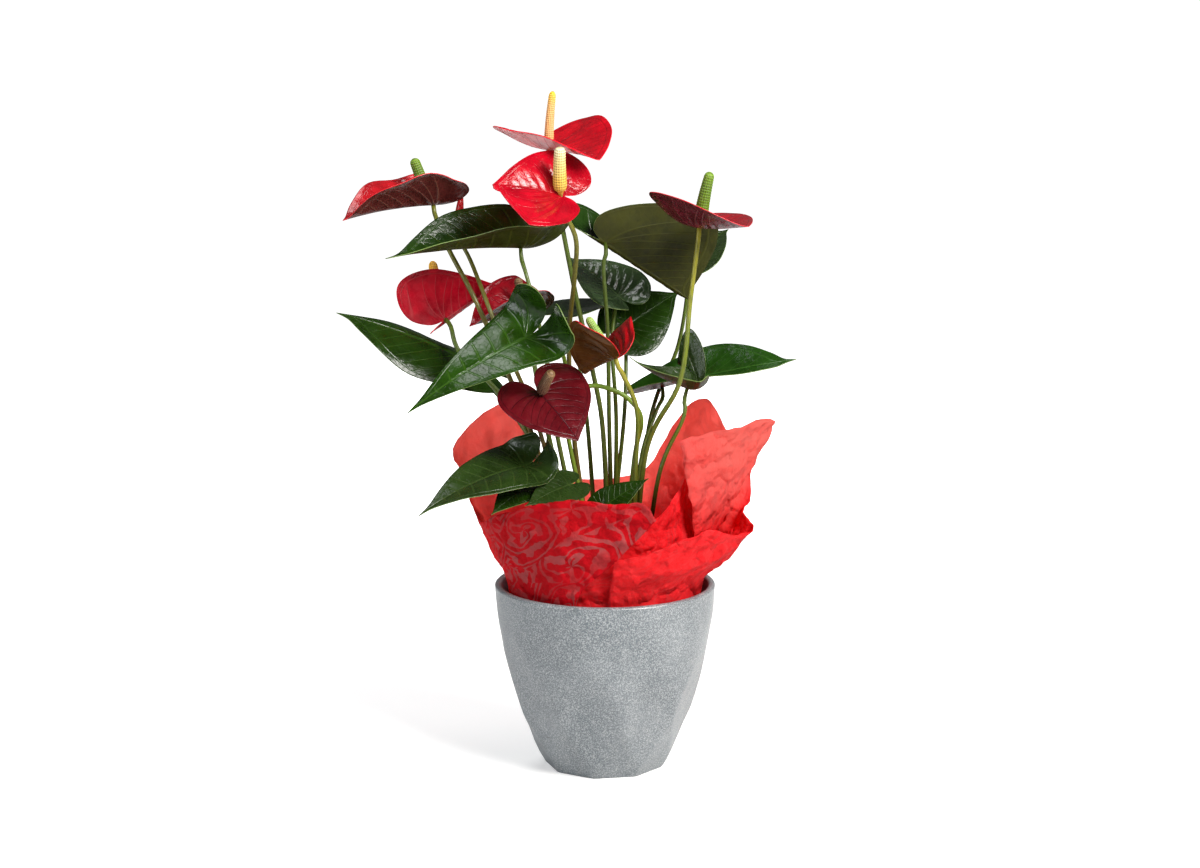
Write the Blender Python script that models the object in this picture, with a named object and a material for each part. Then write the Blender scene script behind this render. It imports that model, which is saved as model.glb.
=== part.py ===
"""A potted anthurium: a plant in its nursery pot, wrapped in two sheets of red paper, in a ceramic pot.

Run with: blender --background --python part.py
The scene is in metres, +Z up. The origin is the centre of the ceramic pot's base, -Y is the front.
Sizes and places below are in millimetres and become metres where a mesh is made.
"""

import math
from dataclasses import dataclass

import bpy
import numpy as np

MM = 0.001
GAP = 0.3  # left between pieces that touch

# Ceramic pot: outer profile as (height, radius), with flats pressed into its lower half.
POT_HEIGHT = 131.0
POT_PROFILE = ((0, 42.5), (5, 46.5), (23, 55.2), (64, 67.6), (109, 75.8), (131, 77.5))
POT_WALL = 5.0
POT_FLOOR = 7.0
POT_SIDES = 48
FLATS_PER_ROW = 9
FLAT_ROWS = ((16, -27, 0.965), (47, -18, 0.982))  # height, tilt in degrees, depth as a share of the radius

# Nursery pot and its potting mix.
NURSERY_BASE_RADIUS = 37.0
NURSERY_RIM_RADIUS = 58.5
NURSERY_HEIGHT = 112.0
NURSERY_WALL = 1.4
NURSERY_LIP = (3.0, 8.0)  # how far the rim's band stands out, and how deep it is
NURSERY_SIDES = 32
DRAIN_HOLES = 6
DRAIN_RADIUS = 4.0
DRAIN_CIRCLE = 26.0
MIX_DEPTH_BELOW_RIM = 7.0
NURSERY_BOTTOM = POT_FLOOR + GAP
MIX_TOP = NURSERY_BOTTOM + NURSERY_HEIGHT - MIX_DEPTH_BELOW_RIM

# Plant.
LEAF_THICKNESS = 0.9
SPATHE_THICKNESS = 1.0
ROOT_SPACING = 5.6  # the stalks leave the mix on a sunflower spiral
GOLDEN_ANGLE = 137.508
BLADE_RINGS = (0.34, 0.68, 1.0)
HALF_SPOKES = 10
STALK_SIDES = 6
STALK_STEPS = (5, 2)  # rings along a stalk, and more for each point that it passes through
SPADIX_SIDES = 8
PAPER_THICKNESS = 0.7

# Half outlines from the tip to the notch: along the midrib in blade lengths, across in half widths.
LEAF_OUTLINE = (
    (1.0, 0.0), (0.88, 0.1), (0.7, 0.38), (0.42, 0.76), (0.12, 1.0),
    (-0.14, 0.92), (-0.32, 0.6), (-0.36, 0.3), (-0.24, 0.09), (-0.06, 0.0),
)
SPATHE_OUTLINE = (
    (1.0, 0.0), (0.92, 0.14), (0.75, 0.46), (0.46, 0.84), (0.12, 1.0),
    (-0.18, 0.95), (-0.38, 0.66), (-0.42, 0.33), (-0.26, 0.09), (-0.05, 0.0),
)


@dataclass
class Blade:
    """A heart-shaped leaf blade or spathe. Its left half is the one on the left when looking from the
    attachment to the tip with the upper side up."""

    attach: tuple  # where the stalk meets the blade
    tip: tuple
    face: tuple  # the way the upper side looks
    widths: tuple  # left and right half widths
    fold: tuple = (15, 15)  # degrees that each half rises from the midrib
    curl: tuple = (-15, -15)  # degrees more at each margin
    arch: float = 20  # degrees that the midrib droops from the attachment to the tip
    lobes: float = 0  # degrees that the basal lobes rise
    twist: float = 0  # degrees that the tip turns about the midrib, left half up
    wave: float = 0  # height of the margin's waves
    sweep: tuple = (0, 0)  # how far each margin leans towards the tip, in blade lengths
    cup: tuple = (0, 0)  # degrees more that each basal lobe rises from the midrib
    pinch: tuple = (0, 0)  # share of each half width that is lost towards the tip


@dataclass
class Leaf:
    name: str
    slot: int  # place on the spiral where the stalk leaves the mix
    blade: Blade
    via: tuple = ()  # points that the stalk passes through
    stalk: tuple = (1.9, 1.3)  # radius at the mix and at the blade


@dataclass
class Flower:
    name: str
    slot: int
    blade: Blade
    spadix_tip: tuple
    spadix: tuple = (4.2, 3.2)  # radius near the base and near the tip
    via: tuple = ()
    stalk: tuple = (1.9, 1.6)


LEAVES = (
    Leaf("upper_left", 7,
         Blade((-58, 0, 366), (-147, -44, 363), (0, 0, 1), (32, 36), (48, 66), (-22, -10), 12, 40, 0, 2,
               (-0.16, 0.12), (10, 0)),
         ((-34, 0, 239), (-40, 0, 285), (-47, -10, 322), (-54, -6, 348))),
    Leaf("front_left", 2,
         Blade((-54, -41, 309), (-131, -80, 264), (0.1, -0.62, 0.78), (30, 30), (14, 10), (-26, -20), 22,
               100, 0, 2, (-0.3, -0.26), (10, 30)),
         ((-26, 4, 235), (-27, 5, 272), (-31, -3, 295))),
    Leaf("far_left", 22,
         Blade((-94, 36, 281), (-186, 2, 321), (0.1, -0.7, 0.7), (32, 19), (12, -40), (-22, -10), 20, 0, 0,
               2, (0.3, 0)),
         ((-48, 26, 215), (-74, 42, 254))),
    Leaf("low_left", 12,
         Blade((-56, -30, 219), (-124, -85, 196), (-0.2, -0.45, 0.87), (25, 25), (10, 26), (-35, -18), 26,
               110, 0, 1, (0, 0), (30, 30)),
         ((-45, -14, 198),), (1.7, 1.4)),
    Leaf("inner_left", 20,
         Blade((-55, -38, 205), (-77, -58, 191), (-0.2, -0.5, 0.8), (15, 15), (12, 12), (-15, -15), 15),
         ((-36, -24, 172),), (1.5, 1.2)),
    Leaf("inner_front", 15,
         Blade((-25, -36, 207), (-54, -62, 198), (0.05, -0.6, 0.8), (15, 15), (10, 16), (-15, -15), 12),
         ((-18, -26, 172),), (1.5, 1.2)),
    Leaf("upper_right", 3,
         Blade((0, 13, 368), (61, 29, 326), (0.1, 1.0, 0.0), (29, 57), (135, 8), (-4, -8), 14, 0, 0, 1,
               (-0.22, 0.6)),
         ((3, 12, 239), (2, 17, 302), (-1, 9, 350))),
    Leaf("back_high", 11,
         Blade((9, 45, 328), (-27, 72, 353), (0.05, -0.35, 0.93), (30, 28), (24, 24), (-12, -12), 15, 20),
         ((8, 24, 235), (5, 32, 292))),
    Leaf("back_right", 16,
         Blade((60, 50, 351), (89, 80, 372), (-0.1, -0.5, 0.85), (24, 24), (26, 26), (-12, -12), 18, 10),
         ((32, 51, 235), (53, 67, 290))),
    Leaf("mid_right", 19,
         Blade((16, 54, 305), (54, 80, 327), (0.1, -0.85, 0.5), (24, 26), (10, 10), (-14, -14), 14),
         ((13, 30, 236),)),
    Leaf("cupped_right", 21,
         Blade((57, 2, 268), (17, -4, 291), (0.1, 0, 1.0), (27, 34), (22, 58), (4, -10), -18, 85, 0, 0,
               (-0.2, -0.85)),
         ((37, -6, 206), (54, -2, 247))),
    Leaf("far_right", 8,
         Blade((41, 49, 262), (135, 27, 285), (0, -0.25, 1.0), (22, 27), (52, 44), (-10, -15), 8, 10, 30, 0,
               (0.3, 0.35)),
         ((25, 24, 210), (36, 36, 245))),
    Leaf("mid_back", 6,
         Blade((-28, 40, 317), (12, 60, 322), (0, -0.1, 1.0), (24, 24), (14, 14), (-12, -12), 10),
         ((-12, 22, 235), (-20, 36, 290))),
    Leaf("inner_right", 10,
         Blade((-1, -30, 191), (30, -26, 210), (0, -0.7, 0.7), (12, 12), (22, 22), (-12, -12), 10),
         ((2, -26, 160),), (1.5, 1.2)),
)

FLOWERS = (
    Flower("top_back", 0,
           Blade((-39, 20, 432), (-4, -32, 428), (0, 0, 1), (44, 44), (26, 38), (14, -26), 6, 6, 0, 1),
           (-36, 22, 472), (3.2, 2.4), ((-1, 8, 231), (-9, 10, 281), (-21, 14, 335))),
    Flower("top_front", 1,
           Blade((-30, -32, 404.5), (-75, -49, 412.5), (0.1, -0.8, 0.55), (36, 34), (18, 8), (4, -14), 24,
                 16, 0, 1, (0.5, -0.12), (0, 0), (0.8, 0)),
           (-30, -41, 437), (4.6, 3.6), ((-22, 12, 234), (-25, 11, 301), (-21, -8, 346), (-20, -23, 375))),
    Flower("upper_left", 4,
           Blade((-118, 6, 395), (-177, -26, 387), (0, 0, 1), (32, 30), (64, 54), (-26, -12), 14, 16, 0, 2,
                 (0.14, 0.14)),
           (-131, 4, 427), (4.2, 3.4), ((-52, -4, 240), (-86, -7, 324), (-108, 6, 365))),
    Flower("mid_left", 17,
           Blade((-112, 28, 313), (-77, 44, 336), (0, 0.9, 0.4), (14, 42), (84, 4), (5, 10), 8, 12, 0, 0,
                 (0.3, -0.24)),
           (-123, 58, 351), (4.0, 3.2), ((-49, 4, 224), (-73, 6, 263), (-101, 14, 291))),
    Flower("centre", 14,
           Blade((-54, 24, 317), (-94, 5, 311), (0, 0, 1), (34, 34), (48, 60), (-14, -8), 12, 24),
           (-61, 22, 343), (3.4, 2.8), ((-39, 10, 231), (-49, 22, 278))),
    Flower("low_front", 5,
           Blade((-44, -30, 269), (-18, -55, 241), (0.3, -0.72, 0.6), (36, 32), (10, 10), (-14, -14), 14, 0,
                 0, 0, (-0.1, 0)),
           (-36, -48, 287), (4.0, 3.2),
           ((20, -2, 215), (25, -8, 247), (17, -11, 262), (3, -12, 270), (-12, -13, 272))),
    Flower("mid_right", 18,
           Blade((7, -26, 293), (-14, -4, 279), (0, 0, 1), (40, 36), (48, 52), (8, 4), 10, 20, 0, 1),
           (-12, -23, 321), (3.2, 2.7), ((21, -12, 213), (22, -18, 255), (12, -25, 282))),
    Flower("right", 13,
           Blade((64, -12, 381), (95, -50, 385), (0, 0, 1), (34, 50), (12, 34), (6, 0), -10, 16),
           (71, -16, 419), (4.7, 3.4), ((28, -12, 224), (51, -28, 278), (58, -18, 332))),
)
BUD_SLOT = 9
BUD_VIA = ((-45, -4, 238), (-73, -16, 310), (-92, 5, 355))
BUD_ATTACH = (-102, 14, 378)
BUD_TIP = (-99, 14, 402)
BUD_RADII = (1.8, 3.4, 3.2, 2.4, 1.2)
BUD_STALK = (1.7, 1.4)

# The sheets' columns, counter-clockwise seen from above: degrees and radius at the pot's rim, then the point
# on the free top edge, and how far the sheet bulges outwards half-way up.
MAIN_SHEET = (
    (-138, 64, (-54, -50, 172), 0), (-112, 65, (-26, -68, 176), 1), (-84, 65, (8, -74, 180), 0),
    (-58, 65, (35, -60, 190), 0), (-36, 64.5, (51, -38, 206), 0), (-16, 64.5, (62, -12, 222), -1),
    (6, 65, (82, 10, 226), 0), (24, 65, (86, 38, 232), 3), (40, 65, (72, 60, 252), 0),
    (56, 65, (52, 76, 232), -2), (70, 65, (30, 84, 196), 2), (92, 66, (0, 86, 188), 0),
    (112, 66, (-32, 84, 192), -2), (126, 66, (-54, 76, 218), 0), (138, 66, (-66, 74, 247), 3),
    (152, 66, (-90, 54, 240), 0), (163, 67, (-108, 34, 220), -2), (173, 67, (-98, 12, 200), 0),
    (181, 68, (-94, -1, 190), 0), (190, 69, (-86, -12, 177), 1), (204, 69, (-76, -38, 186), 1),
    (218, 69, (-60, -62, 195), 0), (230, 69, (-40, -77, 203), 2), (240, 69, (-18, -85, 207), 3),
    (248, 69, (6, -88, 204), 0), (252, 69, (24, -89, 206), 0), (254, 69, (34, -89, 194), 0),
)
FRONT_SHEET = (
    (-88, 67.8, (6, -80, 163), 1), (-74, 67.8, (30, -83, 170), 2), (-60, 67.8, (52, -78, 178), 3),
    (-46, 67.8, (72, -64, 181), 3), (-32, 67.8, (88, -44, 174), 3), (-18, 68.3, (103, -20, 174), 2),
    (-6, 68.8, (98, 2, 180), 0), (2, 69.3, (103, 15, 190), 0), (12, 68.8, (104, 14, 214), 0),
    (16, 67.8, (118, 6, 245), 0), (2, 67.6, (88, -34, 247), 0), (-16, 67.5, (50, -58, 242), 2),
)


# ---------------------------------------------------------------- curves

def catmull(points, at):
    """Smooth curve through points: position at each parameter, where whole numbers are the points."""
    points = np.asarray(points, float)
    padded = np.vstack([2 * points[0] - points[1], points, 2 * points[-1] - points[-2]])
    at = np.asarray(at, float)
    k = np.clip(at.astype(int), 0, len(points) - 2)
    t = (at - k)[:, None]
    a, b, c, d = (padded[k + i] for i in range(4))
    return b + t / 2 * (c - a + t * (2 * a - 5 * b + 4 * c - d + t * (3 * (b - c) + d - a)))


def resample(points, count, dense=24):
    """Evenly spaced points along the smooth curve through points."""
    fine = catmull(points, np.linspace(0, len(points) - 1, dense * (len(points) - 1) + 1))
    along = np.concatenate([[0], np.cumsum(np.linalg.norm(np.diff(fine, axis=0), axis=1))])
    at = np.linspace(0, along[-1], count)
    return np.stack([np.interp(at, along, fine[:, i]) for i in range(3)], axis=1)


def unit(vector):
    vector = np.asarray(vector, float)
    return vector / np.linalg.norm(vector)


# ---------------------------------------------------------------- objects

def material(name, colour, roughness, metallic=0.0):
    made = bpy.data.materials.new(name)
    made.use_nodes = True
    shader = made.node_tree.nodes["Principled BSDF"]
    shader.inputs["Base Color"].default_value = (*colour, 1)
    shader.inputs["Roughness"].default_value = roughness
    shader.inputs["Metallic"].default_value = metallic
    return made


def add_mesh(name, points, faces, finish, smooth=True):
    """One object from points in millimetres."""
    mesh = bpy.data.meshes.new(name)
    mesh.from_pydata((np.asarray(points) * MM).tolist(), [], [list(map(int, f)) for f in faces])
    mesh.materials.append(finish)
    if smooth:
        mesh.shade_smooth()
    made = bpy.data.objects.new(name, mesh)
    bpy.context.scene.collection.objects.link(made)
    return made


def thicken(made, thickness):
    modifier = made.modifiers.new("thickness", "SOLIDIFY")
    modifier.thickness = thickness * MM
    modifier.offset = 0
    modifier.use_rim = True
    return made


def ring_faces(rings, sides, closed=True):
    """Quads between rings of points, the rings one after another, facing out as the rings go up."""
    last = sides if closed else sides - 1
    return [
        (r * sides + i, r * sides + (i + 1) % sides, (r + 1) * sides + (i + 1) % sides, (r + 1) * sides + i)
        for r in range(rings - 1)
        for i in range(last)
    ]


def turned(name, profile, sides, finish, radius_at=None):
    """A closed solid turned about Z from a profile of (height, radius) that runs up the outside and down
    the inside. radius_at(radius, height, angles) may change each ring's radii."""
    angles = np.linspace(0, 2 * math.pi, sides, endpoint=False)
    rings = []
    for height, radius in profile:
        radii = np.full(sides, float(radius)) if radius_at is None else radius_at(radius, height, angles)
        circle = [radii * np.cos(angles), radii * np.sin(angles), np.full(sides, height)]
        rings.append(np.stack(circle, axis=1))
    faces = ring_faces(len(profile), sides)
    faces.append(tuple(range(sides))[::-1])
    faces.append(tuple(range((len(profile) - 1) * sides, len(profile) * sides)))
    return add_mesh(name, np.vstack(rings), faces, finish)


def tube(name, path, radii, sides, finish):
    """A closed round bar along path, its radius given at each point."""
    path = np.asarray(path, float)
    tangents = np.gradient(path, axis=0)
    tangents /= np.linalg.norm(tangents, axis=1)[:, None]
    across = unit(np.cross(tangents[0], (0.3, 0.9, 0.1)))
    turns = np.linspace(0, 2 * math.pi, sides, endpoint=False)
    rings = []
    for point, tangent, radius in zip(path, tangents, radii):
        across = unit(across - tangent * across.dot(tangent))
        up = np.cross(tangent, across)
        rings.append(point + radius * (np.outer(np.cos(turns), across) + np.outer(np.sin(turns), up)))
    faces = ring_faces(len(path), sides)
    faces.append(tuple(range(sides))[::-1])
    faces.append(tuple(range((len(path) - 1) * sides, len(path) * sides)))
    return add_mesh(name, np.vstack(rings), faces, finish)


# ---------------------------------------------------------------- pots

def profile_radius(height):
    heights, radii = zip(*POT_PROFILE)
    return float(np.interp(height, heights, radii))


def pressed(radius, height, angles):
    """The ring's radii with the lower half's flats pressed in."""
    radii = np.full(len(angles), float(radius))
    for row, (centre, tilt, depth) in enumerate(FLAT_ROWS):
        slope = math.tan(math.radians(tilt))
        for k in range(FLATS_PER_ROW):
            middle = 2 * math.pi * (k + 0.5 * row) / FLATS_PER_ROW
            reach = depth * profile_radius(centre) - slope * (height - centre)
            facing = np.cos(angles - middle)
            flat = reach / np.maximum(facing, 0.2)
            radii = np.minimum(radii, flat)
    return radii


def ceramic_pot(finish):
    heights = (0, 2.5, 8, 16, 26, 38, 52, 68, 88, 109, POT_HEIGHT - 2)
    outside = [(h, profile_radius(h)) for h in heights]
    top = profile_radius(POT_HEIGHT)
    rim = [(POT_HEIGHT, top - 1.5), (POT_HEIGHT, top - POT_WALL + 1)]
    inside = [(h, profile_radius(h) - POT_WALL) for h in (POT_HEIGHT - 2, 100, 60, 30, POT_FLOOR + 4)]
    floor = [(POT_FLOOR, profile_radius(POT_FLOOR) - POT_WALL - 4)]

    def shaped(radius, height, angles):
        outer = height < 80 and radius > profile_radius(height) - 1
        return pressed(radius, height, angles) if outer else np.full(len(angles), radius)

    return turned("ceramic_pot", outside + rim + inside + floor, POT_SIDES, finish, shaped)


def nursery_pot(finish):
    bottom, top = NURSERY_BOTTOM, NURSERY_BOTTOM + NURSERY_HEIGHT
    lip, band = NURSERY_LIP
    wall = NURSERY_WALL
    outside = [(bottom, NURSERY_BASE_RADIUS), (top - band, NURSERY_RIM_RADIUS - 1),
               (top - band, NURSERY_RIM_RADIUS - 1 + lip), (top, NURSERY_RIM_RADIUS + lip)]
    inside = [(top, NURSERY_RIM_RADIUS + lip - wall),
              (top - band + wall, NURSERY_RIM_RADIUS - 1 + lip - wall),
              (top - band + wall, NURSERY_RIM_RADIUS - 1 - wall), (bottom + wall, NURSERY_BASE_RADIUS - wall)]
    pot = turned("nursery_pot", outside + inside, NURSERY_SIDES, finish)
    pot.data.set_sharp_from_angle(angle=math.radians(40))
    for k in range(DRAIN_HOLES):
        angle = 2 * math.pi * k / DRAIN_HOLES
        bpy.ops.mesh.primitive_cylinder_add(
            vertices=10, radius=DRAIN_RADIUS * MM, depth=4 * wall * MM,
            location=(DRAIN_CIRCLE * math.cos(angle) * MM, DRAIN_CIRCLE * math.sin(angle) * MM, bottom * MM))
        cutter = bpy.context.object
        cutter.name = f"drain_cutter_{k}"
        cutter.hide_render = True
        cutter.display_type = "WIRE"
        hole = pot.modifiers.new(f"drain_{k}", "BOOLEAN")
        hole.operation = "DIFFERENCE"
        hole.object = cutter
    return pot


def potting_mix(finish):
    inner = NURSERY_WALL + GAP
    bottom = NURSERY_BOTTOM + inner
    rise = (NURSERY_RIM_RADIUS - 1 - NURSERY_BASE_RADIUS) / (NURSERY_HEIGHT - NURSERY_LIP[1])

    def radius(height):
        return NURSERY_BASE_RADIUS + rise * (height - NURSERY_BOTTOM) - inner - 0.2

    shoulder = NURSERY_BOTTOM + NURSERY_HEIGHT - NURSERY_LIP[1] - 1
    profile = [(bottom, radius(bottom)), (shoulder, radius(shoulder)), (MIX_TOP - 1, radius(shoulder) - 3),
               (MIX_TOP, radius(shoulder) - 14)]
    return turned("potting_mix", profile, NURSERY_SIDES, finish)


# ---------------------------------------------------------------- paper

def paper_sheet(name, columns, finish, per_column=2):
    """A sheet tucked between the two pots, flaring above the rim to its free top edge."""
    rim_height = POT_HEIGHT + 2
    tucked = ((40, 16.0), (85, 5.5))  # height, and how far inside the rim radius the sheet runs there
    levels = [[] for _ in range(len(tucked) + 3)]
    for degrees, rim_radius, top, bulge in columns:
        angle = math.radians(degrees)
        outward = np.array([math.cos(angle), math.sin(angle), 0])
        for level, (height, inside) in zip(levels, tucked):
            level.append(outward * (rim_radius - inside) + (0, 0, height))
        rim = outward * rim_radius + (0, 0, rim_height)
        middle = rim + 0.5 * (np.array(top) - rim)
        levels[-3].append(rim)
        levels[-2].append(middle + bulge * unit((middle[0], middle[1], 0)))
        levels[-1].append(top)
    count = per_column * (len(columns) - 1) + 1
    across = np.linspace(0, len(columns) - 1, count)
    rows = np.stack([catmull(level, across) for level in levels])
    up = np.array([0, 1, 1.6, 2, 2.35, 2.7, 3, 3.35, 3.7, 4])
    grid = np.stack([catmull(rows[:, i], up) for i in range(count)], axis=1)
    points = grid.reshape(-1, 3)
    return thicken(add_mesh(name, points, ring_faces(len(up), count, closed=False), finish), PAPER_THICKNESS)


# ---------------------------------------------------------------- plant

def blade_frame(blade):
    """The blade's length along its midrib, axes (to the tip, left, up) and the tables that bend it."""
    attach, tip = np.array(blade.attach, float), np.array(blade.tip, float)
    forward = unit(tip - attach)
    up = unit(np.array(blade.face, float) - forward * forward.dot(blade.face))
    along = np.linspace(-1.2, 1, 221)
    lobes_rise = math.radians(blade.lobes) * np.maximum(along / 0.36, -1)
    slope = np.where(along > 0, -math.radians(blade.arch) * along, lobes_rise)
    step = np.diff(along)
    run = np.concatenate([[0], np.cumsum(step * np.cos((slope[1:] + slope[:-1]) / 2))])
    rise = np.concatenate([[0], np.cumsum(step * np.sin((slope[1:] + slope[:-1]) / 2))])
    start = int(np.argmin(abs(along)))
    run, rise = run - run[start], rise - rise[start]
    length = np.linalg.norm(tip - attach) / math.hypot(run[-1], rise[-1])
    tilt = math.atan2(rise[-1], run[-1])
    axes = (forward, np.cross(up, forward), up)
    return attach, length, axes, tilt, (along, slope, run * length, rise * length)


def half_section(fold, curl, half_width, soft):
    """Tables of how far out and up a half blade reaches, by the distance from the midrib."""
    out = np.linspace(0, 1.2 * half_width, 60)
    angle = math.radians(fold) * (1 - np.exp(-out / soft)) + math.radians(curl) * out / half_width
    middle = (angle[1:] + angle[:-1]) / 2
    step = np.diff(out)
    return (out, np.concatenate([[0], np.cumsum(step * np.cos(middle))]),
            np.concatenate([[0], np.cumsum(step * np.sin(middle))]))


def bent(blade, x, y, soft=4.0):
    """Flat blade points, x along the midrib in lengths and y across in half widths, in their place."""
    attach, length, (forward, left, up), tilt, (along, slope, run, rise) = blade_frame(blade)
    side = np.where(y >= 0, 0, 1)
    narrowing = np.where(side == 0, *blade.pinch) * np.clip((x - 0.1) / 0.4, 0, 1)
    width = np.where(side == 0, *blade.widths) * (1 - narrowing)
    x = x + np.where(side == 0, *blade.sweep) * abs(y)
    across, lift = np.zeros_like(x), np.zeros_like(x)
    for s in (0, 1):
        out, reach, height = half_section(blade.fold[s], blade.curl[s], blade.widths[s], soft)
        mine = side == s
        distance = abs(y[mine]) * width[mine]
        across[mine] = (1 if s == 0 else -1) * np.interp(distance, out, reach)
        lift[mine] = np.interp(distance, out, height)
    lift = lift + blade.wave * y**2 * np.sin(9 * x + 2.2 * side)
    cupped = np.where(side == 0, blade.cup[0], -blade.cup[1]) * np.clip(-x / 0.36, 0, 1)
    turn = np.radians(blade.twist * x + cupped)
    across, lift = across * np.cos(turn) - lift * np.sin(turn), across * np.sin(turn) + lift * np.cos(turn)
    angle = np.interp(x, along, slope)
    u = np.interp(x, along, run) - lift * np.sin(angle)
    v = np.interp(x, along, rise) + lift * np.cos(angle)
    u, v = u * math.cos(tilt) + v * math.sin(tilt), -u * math.sin(tilt) + v * math.cos(tilt)
    return attach + np.outer(u, forward) + np.outer(across, left) + np.outer(v, up)


def blade_normal(blade):
    """The upper side's direction at the attachment."""
    _, _, (forward, _, up), tilt, _ = blade_frame(blade)
    return forward * math.sin(tilt) + up * math.cos(tilt)


def blade_mesh(name, blade, outline, thickness, finish):
    half = catmull(outline, np.linspace(0, len(outline) - 1, HALF_SPOKES + 1))
    rim = np.vstack([half, (half * (1, -1))[-2:0:-1]])
    spokes = len(rim)
    flat = np.vstack([rim * r for r in BLADE_RINGS] + [[(0, 0)]])
    points = bent(blade, flat[:, 0], flat[:, 1])
    centre = len(flat) - 1
    faces = [face[::-1] for face in ring_faces(len(BLADE_RINGS), spokes)]
    faces += [(i, (i + 1) % spokes, centre) for i in range(spokes)]
    return thicken(add_mesh(name, points, faces, finish), thickness)


def root(slot):
    """Where stalk number slot leaves the mix."""
    angle, radius = math.radians(GOLDEN_ANGLE * slot), ROOT_SPACING * math.sqrt(slot + 0.4)
    return radius * math.cos(angle), radius * math.sin(angle), MIX_TOP + 3.5 * GAP


def stalk(name, slot, via, end, normal, clearance, radii, finish, approach=8.0):
    """A stalk from the mix through via that ends clearance below the surface at end, bending towards the
    surface's normal on its way."""
    last = np.array(via[-1] if via else root(slot), float)
    direction = unit(unit(end - last) + 0.8 * normal)
    upright = direction.dot(normal)
    reach = (clearance + 1.05 * radii[1] * math.sqrt(1 - upright**2)) / upright
    end = end - reach * direction
    steps = STALK_STEPS[0] + STALK_STEPS[1] * len(via)
    path = resample([root(slot), *via, end - approach * direction, end], steps)
    return tube(name, path, np.linspace(*radii, steps), STALK_SIDES, finish)


def spadix(name, flower, finish):
    normal = blade_normal(flower.blade)
    base = np.array(flower.blade.attach) + normal * (SPATHE_THICKNESS / 2 + GAP + 1.2)
    axis = np.array(flower.spadix_tip) - base
    wide, narrow = flower.spadix
    shares = np.array([0, 0.07, 0.14, 0.24, 0.6, 0.9, 0.97, 1.0])
    radii = (0.9, 0.3 * wide, 0.75 * wide, wide, 0.5 * (wide + narrow), narrow, 0.75 * narrow, 0.3 * narrow)
    return tube(name, base + np.outer(shares, axis), radii, SPADIX_SIDES, finish)


def build_plant(finishes):
    below_leaf = LEAF_THICKNESS / 2 + GAP + 0.2
    for leaf in LEAVES:
        normal = blade_normal(leaf.blade)
        blade_mesh(f"leaf_{leaf.name}", leaf.blade, LEAF_OUTLINE, LEAF_THICKNESS, finishes["leaf"])
        stalk(f"petiole_{leaf.name}", leaf.slot, leaf.via, np.array(leaf.blade.attach), normal, below_leaf,
              leaf.stalk, finishes["petiole"])
    below_spathe = SPATHE_THICKNESS / 2 + GAP + 0.2
    for flower in FLOWERS:
        normal = blade_normal(flower.blade)
        blade_mesh(f"spathe_{flower.name}", flower.blade, SPATHE_OUTLINE, SPATHE_THICKNESS,
                   finishes["spathe"])
        spadix(f"spadix_{flower.name}", flower, finishes["spadix"])
        stalk(f"peduncle_{flower.name}", flower.slot, flower.via, np.array(flower.blade.attach), normal,
              below_spathe, flower.stalk, finishes["peduncle"])
    axis = unit(np.subtract(BUD_TIP, BUD_ATTACH))
    path = resample([np.array(BUD_ATTACH) + axis * GAP, BUD_TIP], len(BUD_RADII))
    tube("spathe_bud", path, BUD_RADII, SPADIX_SIDES, finishes["spathe"])
    stalk("peduncle_bud", BUD_SLOT, BUD_VIA, np.array(BUD_ATTACH), axis, GAP, BUD_STALK, finishes["peduncle"])


def main():
    for old in list(bpy.data.objects):
        bpy.data.objects.remove(old)
    finishes = {
        "leaf": material("leaf_green", (0.03, 0.11, 0.02), 0.3),
        "petiole": material("petiole_green", (0.12, 0.17, 0.02), 0.4),
        "peduncle": material("peduncle_green", (0.2, 0.18, 0.03), 0.4),
        "spathe": material("spathe_red", (0.45, 0.01, 0.02), 0.2),
        "spadix": material("spadix_yellow", (0.75, 0.55, 0.15), 0.5),
    }
    ceramic_pot(material("grey_ceramic", (0.3, 0.33, 0.35), 0.55))
    nursery_pot(material("nursery_plastic", (0.02, 0.02, 0.02), 0.5))
    potting_mix(material("potting_mix", (0.05, 0.03, 0.02), 0.95))
    paper = material("red_paper", (0.75, 0.03, 0.03), 0.8)
    paper_sheet("paper_wrap_main", MAIN_SHEET, paper)
    paper_sheet("paper_wrap_front", FRONT_SHEET, paper)
    build_plant(finishes)


main()
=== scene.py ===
"""Looks of the potted anthurium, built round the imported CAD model.

Places and sizes in the tables are in millimetres, as in the CAD source, and become metres where a mesh is
made. The origin is the centre of the ceramic pot's base, +Z is up and -Y is the front.
"""

import math
from dataclasses import dataclass

import bpy
import numpy as np
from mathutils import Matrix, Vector, noise


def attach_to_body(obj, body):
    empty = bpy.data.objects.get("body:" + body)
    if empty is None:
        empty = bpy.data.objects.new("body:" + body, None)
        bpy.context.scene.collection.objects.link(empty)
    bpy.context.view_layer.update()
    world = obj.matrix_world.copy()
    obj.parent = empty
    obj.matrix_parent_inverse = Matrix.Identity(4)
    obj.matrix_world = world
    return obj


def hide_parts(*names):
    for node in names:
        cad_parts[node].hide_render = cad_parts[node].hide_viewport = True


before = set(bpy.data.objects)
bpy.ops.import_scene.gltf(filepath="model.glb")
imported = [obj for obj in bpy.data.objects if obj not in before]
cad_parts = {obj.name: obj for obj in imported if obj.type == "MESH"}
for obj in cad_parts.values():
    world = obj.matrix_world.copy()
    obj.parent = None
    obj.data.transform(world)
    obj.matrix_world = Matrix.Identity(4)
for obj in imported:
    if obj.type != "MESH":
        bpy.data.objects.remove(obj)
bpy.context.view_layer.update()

MM = 0.001

# ---------------------------------------------------------------- sizes and places, mostly the CAD's

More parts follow.
